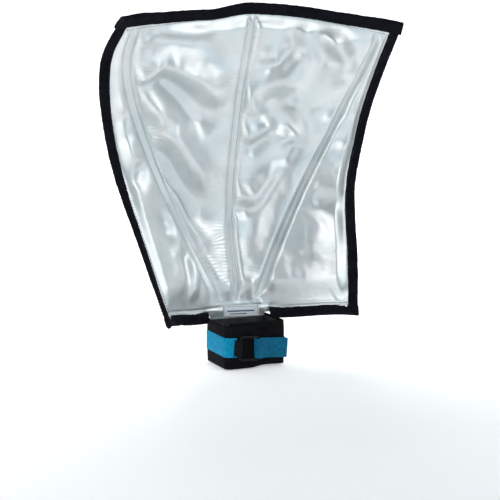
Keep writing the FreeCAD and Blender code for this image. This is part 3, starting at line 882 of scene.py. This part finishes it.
def closed_ends(points, faces):
    """Close the two ends of a tube of grid points."""
    rows, columns = points.shape[:2]
    first = list(range(columns))[::-1]
    last = [(rows - 1) * columns + k for k in range(columns)]
    return [tuple(f) for f in faces] + [tuple(first), tuple(last)]


def cut_tape(name, points, replaced):
    """Cut a strip into the regions it crosses, close the cuts and bind each piece."""
    rows, columns = points.shape[:2]
    vertices = points.reshape(-1, 3)
    faces = grid_faces(rows, columns, wrap=True)
    outward = np.cross(vertices[faces[:, 1]] - vertices[faces[:, 0]],
                       vertices[faces[:, 3]] - vertices[faces[:, 0]])
    centres = points.mean(axis=1)
    row_centre = np.repeat(centres, columns, axis=0)
    if np.einsum("ij,ij->i", outward, vertices[faces[:, 0]] - row_centre[faces[:, 0]]).sum() < 0:
        faces = faces[:, ::-1]
    flip = faces[0][0] > faces[0][1]
    row_region = region_of(centres)[:-1]
    face_row = np.repeat(np.arange(rows - 1), columns)
    for index in np.unique(row_region):
        region_name = REGIONS[index]
        kept = faces[row_region[face_row] == index]
        used, inverse = np.unique(kept, return_inverse=True)
        part_faces = [tuple(f) for f in inverse.reshape(kept.shape)]
        rows_used = np.unique(used // columns)
        for row, reverse in ((rows_used[0], True), (rows_used[-1], False)):
            ring = [int(np.searchsorted(used, row * columns + k)) for k in range(columns)]
            part_faces.append(tuple(ring[::-1] if reverse != flip else ring))
        piece = make_mesh("%s_%s" % (name, region_name), vertices[used], part_faces, LOOP_TAPE)
        bind_to_frame(piece, region_name)
        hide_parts(*[n for n in replaced if region_name.split("_")[0] in n or len(replaced) == 1])


def on_side(run, distance):
    """Along and share of a point of the side's tape."""
    share = run * (1 - ARCH_SHARE)
    return half_width(share) - distance, share


def on_top(run, distance):
    """Along and share of a point of the top's tape, which reaches a little past the sides."""
    across = 2 * run - 1
    arch = 1 - ARCH_SHARE * across**2
    return across * (half_width(arch) + TAPE_PAST), arch - (distance - TAPE_PAST) / TALL


def on_foot(run, distance):
    """Along and share of a point of the foot's tape, from the neck to past the side."""
    near = joint_point("right_corner_fold")[0] + TAPE_CLEAR
    far = half_width(0.0) + TAPE_PAST
    return near + (far - near) * run, (distance - TAPE_PAST) / TALL


def build_binding():
    """Fuzzy loop tape folded over all four edges; the top and bottom strips lie over the sides."""
    for side, word in ((-1, "left"), (1, "right")):
        cut_tape("binding_side_%s" % word, tape(on_side, side, 230, 0.8, 51),
                 ["side_binding_corner_" + word, "side_binding_lower_" + word,
                  "side_binding_middle_" + word, "side_binding_top_" + word])
        cut_tape("binding_foot_%s" % word, tape(on_foot, side, 90, 1.4, 55), ["bottom_binding_" + word])
    cut_tape("binding_top", tape(on_top, 1, 230, 1.5, 53), ["top_binding"])


# ================================================================ ribbons: belt, strap and tab
def plan_path(corners, radius, step=1.2):
    """Evenly spaced plan points through the corners, with rounded turns."""
    corners = [np.array(c, float) for c in corners]
    line = [corners[0]]
    for k in range(1, len(corners) - 1):
        back = corners[k - 1] - corners[k]
        ahead = corners[k + 1] - corners[k]
        reach = min(radius[k] if isinstance(radius, (list, tuple)) else radius,
                    0.49 * np.linalg.norm(back), 0.49 * np.linalg.norm(ahead))
        start = corners[k] + back / np.linalg.norm(back) * reach
        end = corners[k] + ahead / np.linalg.norm(ahead) * reach
        for t in np.linspace(0, 1, 9):
            line.append((1 - t)**2 * start + 2 * t * (1 - t) * corners[k] + t**2 * end)
    line.append(corners[-1])
    return even(np.array(line), step)


def even(line, step):
    """The same line with evenly spaced points."""
    runs = np.linalg.norm(np.diff(line, axis=0), axis=1)
    line = line[np.concatenate([[True], runs > 1e-6])]
    runs = np.linalg.norm(np.diff(line, axis=0), axis=1)
    travelled = np.concatenate([[0], np.cumsum(runs)])
    count = max(3, int(travelled[-1] / step) + 1)
    at = np.linspace(0, travelled[-1], count)
    return np.stack([np.interp(at, travelled, line[:, k]) for k in range(line.shape[1])], axis=-1)


def ribbon_section(thick, tall, puff, pinch):
    """Loop of (across, up) round a soft strip that stands on edge; pinch is how far in
    from each edge its seam lies, or 0."""
    half = thick / 2
    rise = np.linspace(-tall / 2 + half, tall / 2 - half, 17)
    swell = puff * (1 - (2 * rise / tall)**4)
    if pinch:
        swell = swell - 0.45 * (bell(rise - tall / 2 + pinch, 1.1) + bell(rise + tall / 2 - pinch, 1.1))
    turn = np.linspace(0, math.pi, 7)[1:-1]
    outer = np.stack([half + swell, rise], axis=-1)
    top = np.stack([half * np.cos(turn), tall / 2 - half + half * np.sin(turn)], axis=-1)
    inner = np.stack([-half - 0.3 * swell, rise], axis=-1)[::-1]
    bottom = np.stack([-half * np.cos(turn), -tall / 2 + half - half * np.sin(turn)], axis=-1)
    return np.concatenate([outer, top, inner, bottom])


def ribbon(name, path, low, high, thick, material, puff=0.0, pinch=0.0, wave=0.15, seed=1):
    """A soft strip standing on edge along a plan path.  low and high are its lower and upper
    edges, as numbers or arrays along the path."""
    low = np.broadcast_to(np.asarray(low, float), len(path))
    high = np.broadcast_to(np.asarray(high, float), len(path))
    tangent = unit(np.gradient(path, axis=0))
    outward = np.stack([tangent[:, 1], -tangent[:, 0]], axis=-1)
    rows = []
    for k in range(len(path)):
        section = ribbon_section(thick, high[k] - low[k], puff, pinch)
        x = path[k, 0] + outward[k, 0] * section[:, 0]
        y = path[k, 1] + outward[k, 1] * section[:, 0]
        z = (low[k] + high[k]) / 2 + section[:, 1]
        rows.append(np.stack([x, y, z], axis=-1))
    points = np.array(rows)
    shift = wave * value_noise(points[..., 0] + points[..., 1] * 0.7, points[..., 2], 9.0, seed)
    points[..., :2] += shift[..., None] * outward[:, None, :]
    return tube_object(name, points, material)


def tube_object(name, points, material, closed=False):
    """A mesh from rows of rings; the ends are filled unless the tube closes on itself."""
    rows, columns = points.shape[:2]
    if closed:
        faces = [tuple(f) for f in grid_faces(rows + 1, columns, wrap=True) % (rows * columns)]
    else:
        faces = closed_ends(points, grid_faces(rows, columns, wrap=True))
    piece = make_mesh(name, points.reshape(-1, 3), faces, material)
    shell = bmesh.new()
    shell.from_mesh(piece.data)
    bmesh.ops.recalc_face_normals(shell, faces=shell.faces)
    shell.to_mesh(piece.data)
    shell.free()
    return piece


FLAP = node_box("left_flap")
FLAP_RIGHT = node_box("right_flap")
PAD = node_box("back_pad")
LINING = node_box("grip_lining_left")
LINING_BACK = node_box("grip_lining_back")
TAIL = node_box("strap_tail")
FLAP_THICK = PAD[1][1] - PAD[0][1]
OUTER_X = FLAP_RIGHT[1][0]
INNER_X = OUTER_X - FLAP_THICK
OUTER_Y = PAD[1][1]
FRONT_FLAP_Y = FLAP[0][1]
OVERLAP_X = FLAP[1][0]
TAIL_JOINT = joint_point("strap_tail_peel")
SLOPE = math.atan2(-JOINTS["strap_tail_peel"]["axis"][0], -JOINTS["strap_tail_peel"]["axis"][2])
STRAP_MIDDLE = TAIL_JOINT[2]
STRAP_HALF = 12.5
WEBBING = 1.4
# the belt's cut ends stop this far from its back face, and the flaps' corners turn this tightly
END_GAP = 0.4
LEFT_TURN, RIGHT_TURN = 7.0, 4.5
# distance from an edge of the belt to its seam
BELT_SEAM = 3.4


def strap_level(path):
    """Height of the strap's middle along its path: it runs a little downhill to the right."""
    return STRAP_MIDDLE - path[:, 0] * math.tan(SLOPE)


def soft(piece, body, slot, *nodes, fill=None):
    """Ride on a body and stand for CAD nodes."""
    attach(piece, body)
    if nodes:
        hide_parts(*nodes)
    return piece


def build_belt():
    """Back pad, the two wrap flaps and the grip linings."""
    middle = FLAP_THICK / 2
    pad_path = plan_path([(-INNER_X, OUTER_Y - middle), (INNER_X, OUTER_Y - middle)], 1.0)
    pad = ribbon("belt_back_pad", pad_path[::-1], 0.0, PAD[1][2] - 0.2, FLAP_THICK - 0.1,
                 BELT_CLOTH, puff=0.25, pinch=3.2, wave=0.12, seed=3)
    soft(pad, "belt", "belt_fabric", "back_pad", fill=0.5)

    left_path = plan_path([(-OUTER_X + middle, OUTER_Y - END_GAP),
                           (-OUTER_X + middle, FRONT_FLAP_Y + middle),
                           (OVERLAP_X, FRONT_FLAP_Y + middle)], LEFT_TURN)
    x = left_path[:, 0]
    in_front = left_path[:, 1] < -20
    low = 0.3 + 1.6 * ramp(x, -8, OVERLAP_X) * in_front
    high = FLAP[1][2] - 0.5 + 0.8 * np.sin(x / 9.0) * in_front
    left = ribbon("belt_left_flap", left_path, low, high, FLAP_THICK, BELT_CLOTH,
                  puff=0.45, pinch=BELT_SEAM, wave=0.30, seed=4)
    soft(left, "belt", "belt_fabric", "left_flap", fill=0.5)

    right_path = plan_path([(OUTER_X - middle, OUTER_Y - END_GAP),
                            (OUTER_X - middle, -OUTER_Y + middle),
                            (FLAP_RIGHT[0][0], -OUTER_Y + middle)], RIGHT_TURN)[::-1]
    low = FLAP_RIGHT[0][2] + 0.6 + 0.5 * np.sin(right_path[:, 0] / 11.0)
    high = FLAP_RIGHT[1][2] + 0.6 - 0.4 * ramp(right_path[:, 0], 20, 42)
    right = ribbon("belt_right_flap", right_path, low, high, FLAP_THICK, BELT_CLOTH,
                   puff=0.4, pinch=BELT_SEAM, wave=0.28, seed=5)
    soft(right, "belt", "belt_fabric", "right_flap", fill=0.5)

    thick = LINING[1][0] - LINING[0][0]
    half_y = LINING[1][1]
    half_x = LINING_BACK[1][0]
    for word, ends in (("left", [(-half_x - thick / 2, half_y), (-half_x - thick / 2, -half_y)]),
                       ("right", [(half_x + thick / 2, -half_y), (half_x + thick / 2, half_y)]),
                       ("back", [(half_x, half_y + thick / 2), (-half_x, half_y + thick / 2)]),
                       ("front", [(-half_x, -half_y - thick / 2), (half_x, -half_y - thick / 2)])):
        path = plan_path(ends, 1.0)
        sheet = ribbon("grip_sheet_" + word, path, LINING[0][2], LINING[1][2], thick * 0.96,
                       GRIP_RUBBER, wave=0.04, seed=8)
        soft(sheet, "belt", "grip_lining", "grip_lining_" + word)


def turn_about_slope(points):
    """Carry points from the strap's own level frame to the CAD's frame."""
    c, s = math.cos(SLOPE), math.sin(SLOPE)
    x, y, z = points[..., 0], points[..., 1], points[..., 2]
    return np.stack([x * c + z * s, y, STRAP_MIDDLE - x * s + z * c], axis=-1)


def level_ribbon(name, path, half, thick, material, wave=0.06, seed=1, puff=0.0):
    """A ribbon built level in the strap's own frame and then set on its slope."""
    piece = ribbon(name, path, -half, half, thick, material, puff=puff, wave=wave, seed=seed)
    co = np.zeros(len(piece.data.vertices) * 3)
    piece.data.vertices.foreach_get("co", co)
    co = turn_about_slope(co.reshape(-1, 3) / MM) * MM
    piece.data.vertices.foreach_set("co", co.ravel())
    piece.data.update()
    return piece


def build_strap():
    """Blue strap: long run, the turn round the ring's bar, and the loose end."""
    half = WEBBING / 2
    side_gap, back_gap, front_gap = 0.45, 0.3, 0.35
    out_x = OUTER_X + half + side_gap
    back_y = OUTER_Y + half + back_gap
    front_y = FRONT_FLAP_Y - half - front_gap
    right_y = -OUTER_Y - half - front_gap
    path = plan_path([(-27.0, front_y), (-out_x, front_y), (-out_x, back_y), (out_x, back_y),
                      (out_x, right_y), (OVERLAP_X + 4.0, right_y), (OVERLAP_X - 1.0, front_y),
                      (-3.0, front_y)], [0, 5.5, 3.5, 3.5, 4.0, 2.5, 2.5, 0])
    middle = strap_level(path)
    run = ribbon("strap_run", path, middle - STRAP_HALF, middle + STRAP_HALF, WEBBING,
                 BLUE_WEBBING, puff=0.05, wave=0.12, seed=12)
    soft(run, "belt", "blue_webbing", "strap")

    bar = TAIL_JOINT
    bar_reach = 1.95
    turn = bar_reach + half
    arc = [(bar[0] - turn * math.sin(a), bar[1] + turn * math.cos(a))
           for a in np.linspace(math.radians(10), math.radians(172), 16)]
    fold_path = np.array([(bar[0] + 1.2, front_y - 0.05), (bar[0] - 0.2, front_y - 0.2)]
                         + [tuple(p) for p in arc])
    fold_path = even(fold_path, 0.45)
    # the turn wears the darker copy of the blue webbing: painted shade
    fold = level_ribbon("strap_turn", fold_path, STRAP_HALF - 0.1, WEBBING, BLUE_WEBBING_SHADED,
                        wave=0.03, seed=13)
    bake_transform(fold)
    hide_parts("strap_fold")

    lay_y = TAIL[1][1] - half
    near_y = bar[1] - turn
    tail_path = plan_path([(bar[0] - 0.2, near_y), (bar[0] + 3.4, near_y), (12.0, lay_y - 0.9),
                           (20.0, lay_y), (TAIL[1][0] - 0.4, lay_y)], [0, 2.5, 5, 6, 0], 0.9)
    # the loose end wears the darker copy of the blue webbing: painted shade
    tail = level_ribbon("strap_loose_end", tail_path, STRAP_HALF, WEBBING, BLUE_WEBBING_SHADED,
                        wave=0.12, seed=14, puff=0.05)
    soft(tail, "strap_tail", "blue_webbing", "strap_tail")


def build_patches():
    """Hook patch under the loose end and loop patch on the run below it."""
    for node, body in (("loop_patch", "belt"), ("hook_patch", "strap_tail")):
        low, high = node_box(node)
        y = (low[1] + high[1]) / 2
        path = plan_path([(low[0] + 0.6, y), (high[0] - 0.6, y)], 1.0, 1.0)
        patch = level_ribbon(node + "_tape", path, 10.6, high[1] - low[1] - 0.05, BLUE_WEBBING,
                             wave=0.1, seed=17)
        soft(patch, body, "hook_and_loop", node)


def build_ring():
    """Rectangular ring with rounded bars."""
    low_x, high_x, tall = -26.0, 1.5, 32.0
    bar, thick, squareness = 3.0, 2.4, 0.55
    corner_radius = 2.6
    middle, left, right = (low_x + high_x) / 2, low_x + bar / 2, high_x - bar / 2
    foot, top = -tall / 2 + bar / 2, tall / 2 - bar / 2
    outline = plan_path([(middle, foot), (right, foot), (right, top), (left, top), (left, foot),
                         (middle, foot)], corner_radius, 0.8)[:-1]
    tangent = unit(np.roll(outline, -1, axis=0) - np.roll(outline, 1, axis=0))
    normal = np.stack([tangent[:, 1], -tangent[:, 0]], axis=-1)
    rings = []
    for angle in np.linspace(0, 2 * math.pi, 20, endpoint=False):
        c, s = math.cos(angle), math.sin(angle)
        across = bar / 2 * math.copysign(abs(c)**squareness, c)
        deep = thick / 2 * math.copysign(abs(s)**squareness, s)
        x = outline[:, 0] + normal[:, 0] * across
        z = outline[:, 1] + normal[:, 1] * across
        rings.append(np.stack([x, np.full(len(x), TAIL_JOINT[1] + deep), z], axis=-1))
    points = turn_about_slope(np.array(rings).transpose(1, 0, 2))
    ring = tube_object("ring", points, RING_PLASTIC, closed=True)
    soft(ring, "belt", "ring_plastic", "buckle_ring")


def build_tab():
    """Black webbing tab, looped round the ring's left bar and sewn over the strap's end."""
    bar_x, bar_y = -24.5, TAIL_JOINT[1]
    base_y = FRONT_FLAP_Y - WEBBING - 0.9
    turn = 2.45
    arc = [(bar_x + turn * math.sin(a), bar_y + turn * math.cos(a))
           for a in np.linspace(math.radians(8), math.radians(200), 18)]
    path = np.array([(-31.0, base_y), (-27.5, base_y)] + arc + [(-28.0, bar_y - 0.9), (-30.6, base_y - 1.15)])
    tab = level_ribbon("ring_tab_webbing", even(path[::-1], 0.5), 10.0, 1.0, BLACK_WEBBING,
                       wave=0.05, seed=15)
    soft(tab, "belt", "black_webbing", "ring_tab")


# ================================================================ rods
def build_rods():
    """Bendable rods inside the panel, with soft end sleeves."""
    wire_radius, sleeve_radius, sleeve_gap = 1.1, 1.35, 0.6
    for side, word in ((-1, "left"), (0, "centre"), (1, "right")):
        for part in ("lower", "middle", "top"):
            node = "rod_%s_%s" % (part, word)
            low, high = node_box(node)
            first = {"lower": low[2], "middle": MIDDLE_FROM, "top": TOP_FROM}[part]
            last = {"lower": MIDDLE_FROM, "middle": TOP_FROM, "top": high[2]}[part]
            rod = round_rod(node + "_wire", side, first, last, wire_radius, ROD_METAL)
            bind_to_frame(rod, part)
            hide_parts(node)
        for part in ("lower", "top"):
            node = "rod_cap_%s_%s" % (part, word)
            low, high = node_box(node)
            cap = round_rod(node + "_sleeve", side, low[2] + sleeve_gap, high[2] - sleeve_gap,
                            sleeve_radius, GRIP_RUBBER)
            bind_to_frame(cap, part)
            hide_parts(node)


def round_rod(name, side, first, last, radius, material):
    """A round rod along a channel, between two heights."""
    first, last = (first - FOOT) / TALL, (last - FOOT) / TALL
    share = np.linspace(first, last, max(6, int((last - first) * TALL / 4)))
    along = side * rod_spread(share)
    centre = panel_point(along, share, THICK / 2)
    tangent = unit(np.gradient(centre, axis=0))
    sideways = unit(np.cross(tangent, np.array([0.0, 1.0, 0.0])))
    deep = np.cross(sideways, tangent)
    angle = np.linspace(0, 2 * math.pi, 12, endpoint=False)
    points = (centre[:, None, :] + radius * (np.cos(angle)[None, :, None] * sideways[:, None, :]
                                             + np.sin(angle)[None, :, None] * deep[:, None, :]))
    return tube_object(name, points, material)


# ================================================================ label and stitches
LABEL_LEFT, LABEL_RIGHT = -20.5, 30.0
LABEL_LOW, LABEL_HIGH = 3.5, 17.0
LABEL_SLOPE = 0.035
LABEL_THICK = 0.35


def label_patch(name, left, right, low, high, lift, material):
    """A thin patch lying on the sheet, between two places along it and two heights."""
    columns = max(3, int((right - left) / 1.5))
    rows = max(3, int((high - low) / 1.2))
    height, along = np.meshgrid(np.linspace(low, high, rows), np.linspace(left, right, columns),
                                indexing="ij")
    height = height - (along - left) * LABEL_SLOPE
    curl = 0.2 * value_noise(along, height, 12, 61)
    front, out = silver_point(along, height / TALL, lift + curl)
    back = front - out * LABEL_THICK
    vertices = np.concatenate([front.reshape(-1, 3), back.reshape(-1, 3)])
    count = rows * columns
    faces = [tuple(f) for f in grid_faces(rows, columns)]
    faces += [tuple(f[::-1] + count) for f in grid_faces(rows, columns)]
    rim = (list(range(columns)) + [r * columns + columns - 1 for r in range(1, rows)]
           + [(rows - 1) * columns + k for k in range(columns - 2, -1, -1)]
           + [r * columns for r in range(rows - 2, 0, -1)])
    for a, b in zip(rim, rim[1:] + rim[:1]):
        faces.append((b, a, a + count, b + count))
    piece = make_mesh(name, vertices, faces, material)
    bind_to_frame(piece, "neck")
    return piece


def build_label():
    """Small woven label with a plain border and plain bars; it carries no lettering."""
    patch = label_patch("label", LABEL_LEFT, LABEL_RIGHT, LABEL_LOW, LABEL_HIGH, 0.9, LABEL_CLOTH)
    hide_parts("label_patch")
    inset, line, thread_lift = 1.2, 0.7, 1.05
    left, right, low = LABEL_LEFT + inset, LABEL_RIGHT - inset, LABEL_LOW + inset
    border = ((left, right, LABEL_HIGH - 2.0, LABEL_HIGH - 2.0 + line),
              (left, left + line, low, LABEL_HIGH - 1.4),
              (right - line, right, low, LABEL_HIGH - 1.4))
    bars = ((-15.5, 23.5, 9.2, 10.8), (-11.5, 12.5, 5.9, 7.1))
    for word, places, thread in (("border", border, LABEL_BLUE), ("bar", bars, LABEL_INK)):
        for number, place in enumerate(places):
            label_patch("label_%s_%d" % (word, number), *place, thread_lift, thread)


# length, gap and radius of the stitches in the sheets and in the binding
SHEET_STITCH = (2.2, 1.2, 0.26)
TAPE_STITCH = (2.6, 1.4, 0.3)


def stitch_mesh(line, normals, length, gap, radius):
    """Little rounded stitches along a line of points; returns vertices, faces and centres."""
    runs = np.linalg.norm(np.diff(line, axis=0), axis=1)
    travelled = np.concatenate([[0], np.cumsum(runs)])
    starts = np.arange(gap, travelled[-1] - length, length + gap)
    # place along the stitch and girth there
    shape = [(-0.5, 0.3), (-0.36, 0.85), (0.0, 1.0), (0.36, 0.85), (0.5, 0.3)]
    sides = 6
    vertices, faces, centres = [], [], []

    def read(values, at):
        """The values at a distance travelled along the line."""
        return np.array([np.interp(at, travelled, values[:, k]) for k in range(3)])
    for start in starts:
        spot = read(line, start + length / 2)
        chord = read(line, start + length) - read(line, start)
        run = chord / max(np.linalg.norm(chord), 1e-6)
        out = read(normals, start + length / 2)
        out = out - run * (out @ run)
        out /= np.linalg.norm(out)
        wide = np.cross(run, out)
        first = len(vertices)
        for place, girth in shape:
            for k in range(sides):
                angle = 2 * math.pi * k / sides
                vertices.append(spot + run * place * length + out * radius * (0.2 + girth * math.sin(angle))
                                + wide * radius * girth * math.cos(angle))
        for ring in range(len(shape) - 1):
            for k in range(sides):
                a0 = first + ring * sides + k
                a1 = first + ring * sides + (k + 1) % sides
                faces.append((a0, a0 + sides, a1 + sides, a1))
        faces.append(tuple(first + k for k in range(sides)))
        faces.append(tuple(first + (len(shape) - 1) * sides + k for k in range(sides - 1, -1, -1)))
        centres.append(spot)
    return vertices, faces, centres


def stitch_groups(name, lines, material, slot, length, gap, radius):
    """Stitches of several lines, gathered into one piece for each region."""
    gathered = {}
    for line, normals in lines:
        vertices, faces, centres = stitch_mesh(line, normals, length, gap, radius)
        if not centres:
            continue
        region = region_of(np.array(centres))
        per_stitch = len(vertices) // len(centres)
        faces_each = len(faces) // len(centres)
        for k, index in enumerate(region):
            store = gathered.setdefault(REGIONS[index], ([], []))
            shift = len(store[0]) - k * per_stitch
            store[0].extend(vertices[k * per_stitch:(k + 1) * per_stitch])
            store[1].extend(tuple(v + shift for v in face)
                            for face in faces[k * faces_each:(k + 1) * faces_each])
    for region, (vertices, faces) in gathered.items():
        piece = make_mesh("%s_%s" % (name, region), np.array(vertices), faces, material)
        bind_to_frame(piece, region)


def rim_lines():
    """Along, share and how far the tape stands out, for the seam on each strip of binding."""
    inset = BINDING - 2.2
    on_side, on_top = 1.2, 1.95
    run = np.linspace(-1, 1, 260)
    arch = 1 - ARCH_SHARE * run**2 - inset / TALL
    lines = [(run * (half_width(arch) - inset), arch, on_top)]
    for side in (-1, 1):
        share = np.linspace(0.035, 1 - ARCH_SHARE - 0.035, 260)
        lines.append((side * (half_width(share) - inset), share, on_side))
        across = np.linspace(CREASES[1][0][0] + 1.5, HALF_LOW - 3, 90)
        lines.append((side * across, np.full(across.shape, inset / TALL), on_top))
    return lines


def build_stitches():
    """Seams beside the rods, along the hem and round the binding."""
    for word, surface, thread, slot in (("front", silver_point, SILVER_THREAD, "silver_fabric"),
                                        ("back", backing_point, BLACK_THREAD, "black_fabric")):
        lines = []
        for channel in CHANNELS:
            for offset in (-channel.seam, channel.seam):
                share = np.linspace(0.05, 0.955 - 0.03 * abs(channel.rod), 260)
                lines.append(surface(channel.rod * rod_spread(share) + offset, share))
        along = np.linspace(-(HALF_LOW - BINDING), HALF_LOW - BINDING, 220)
        lines.append(surface(along, np.full(along.shape, HEM / TALL)))
        stitch_groups("seam_" + word, lines, thread, slot, *SHEET_STITCH)

        tape_lines = []
        for along, share, proud in rim_lines():
            depth, way = (-proud, 1) if word == "front" else (THICK + proud, -1)
            normal = panel_normal(along, share)
            tape_lines.append((panel_point(along, share, 0.0) - normal * depth, normal * way))
        stitch_groups("tape_seam_" + word, tape_lines, BLACK_THREAD, "edge_binding", *TAPE_STITCH)


# ================================================================ stage
# In metres: the floor runs from its front to where it bends up into the backdrop.
FLOOR_Z = -0.001
FLOOR_HALF_WIDTH, FLOOR_FRONT, FLOOR_BACK = 6.0, -4.0, 1.6
BEND_RADIUS, BACKDROP_TOP = 1.4, 6.0
# the floor's glow grows from nothing in front of the object to its full strength behind it
GLOW_FROM, GLOW_TO, GLOW = -0.6, 0.9, 0.85
ROOM_COLOUR, ROOM_LIGHT = (0.64, 0.86, 1.0, 1), 0.20
LAMP_AIM = Vector((0.0, 0.0, 0.24))
LAMPS = (
    # name, place, width, power, colour
    ("front", (0.75, -1.15, 1.05), 1.3, 10.5, (1.0, 0.985, 0.96)),
    ("right", (1.5, -0.1, 0.8), 1.0, 2.2, (0.96, 0.99, 1.0)),
    ("left", (-1.6, -0.6, 0.6), 1.9, 22.0, (1.0, 0.99, 0.97)),
    ("low", (0.35, -1.0, 0.12), 0.7, 0.9, (0.45, 0.82, 1.0)),
    ("back", (0.4, 1.5, 1.6), 1.2, 18.0, (1.0, 1.0, 1.0)),
)
# the camera stands this far from a point in the object, and aims a little off that point
CAMERA_TURN, CAMERA_RISE, CAMERA_DISTANCE = math.radians(-24.0), math.radians(5.4), 1.5
CAMERA_POINT = Vector((0, 0, 0.2))
AIM_RIGHT, AIM_DOWN = 0.0051, 0.0530


def build_floor():
    """Pale floor that curves up into a backdrop."""
    profile = [(FLOOR_FRONT, FLOOR_Z), (FLOOR_BACK, FLOOR_Z)]
    profile += [(FLOOR_BACK + BEND_RADIUS * math.sin(a), FLOOR_Z + BEND_RADIUS * (1 - math.cos(a)))
                for a in np.linspace(0.1, math.pi / 2, 12)]
    profile.append((FLOOR_BACK + BEND_RADIUS, BACKDROP_TOP))
    vertices = []
    for y, z in profile:
        vertices += [(-FLOOR_HALF_WIDTH, y, z), (FLOOR_HALF_WIDTH, y, z)]
    faces = [(2 * k, 2 * k + 1, 2 * k + 3, 2 * k + 2) for k in range(len(profile) - 1)]
    mesh = bpy.data.meshes.new("floor")
    mesh.from_pydata(vertices, [], faces)
    mesh.polygons.foreach_set("use_smooth", [True] * len(mesh.polygons))
    material, tree, shader = new_material("pale_floor", {"Base Color": (0.90, 0.90, 0.90, 1),
                                                         "Roughness": 0.95,
                                                         "Emission Color": (1.0, 1.0, 1.0, 1)})
    place = add_node(tree, "ShaderNodeTexCoord")
    axes = add_node(tree, "ShaderNodeSeparateXYZ")
    glow = add_node(tree, "ShaderNodeMapRange", {"From Min": GLOW_FROM, "From Max": GLOW_TO,
                                                 "To Min": 0.0, "To Max": GLOW})
    tree.links.new(place.outputs["Object"], axes.inputs["Vector"])
    tree.links.new(axes.outputs["Y"], glow.inputs["Value"])
    tree.links.new(glow.outputs["Result"], shader.inputs["Emission Strength"])
    mesh.materials.append(material)
    floor = add_object("floor", mesh)


def build_lights():
    """The room's faint light and the soft lamps."""
    world = bpy.data.worlds.new("studio")
    bpy.context.scene.world = world
    world.use_nodes = True
    room = world.node_tree.nodes["Background"]
    room.inputs["Color"].default_value = ROOM_COLOUR
    room.inputs["Strength"].default_value = ROOM_LIGHT
    for name, place, width, power, colour in LAMPS:
        lamp = bpy.data.lights.new(name, "AREA")
        lamp.size = width
        lamp.energy = power
        lamp.color = colour
        light = add_object(name, lamp)
        light.location = place
        light.rotation_euler = (LAMP_AIM - Vector(place)).to_track_quat("-Z", "Y").to_euler()


def build_camera():
    """The camera, in front of the silver side, to the left and a little above."""
    backward = Vector((math.sin(CAMERA_TURN) * math.cos(CAMERA_RISE),
                       -math.cos(CAMERA_TURN) * math.cos(CAMERA_RISE), math.sin(CAMERA_RISE)))
    right = Vector((math.cos(CAMERA_TURN), math.sin(CAMERA_TURN), 0))
    up = backward.cross(right)
    camera_data = bpy.data.cameras.new("camera")
    camera_data.lens = 85.0
    camera_data.sensor_width = 36.0
    camera_data.clip_start, camera_data.clip_end = 0.05, 50.0
    camera = add_object("camera", camera_data)
    camera.location = CAMERA_POINT + backward * CAMERA_DISTANCE
    aim = CAMERA_POINT + right * AIM_RIGHT - up * AIM_DOWN
    camera.rotation_euler = (aim - camera.location).to_track_quat("-Z", "Y").to_euler()
    bpy.context.scene.camera = camera
    bpy.context.scene.view_settings.view_transform = "Standard"


build_floor()
build_lights()
build_camera()
build_silver()
build_backing()
build_binding()
build_belt()
build_strap()
build_patches()
build_ring()
build_tab()
build_rods()
build_label()
build_stitches()
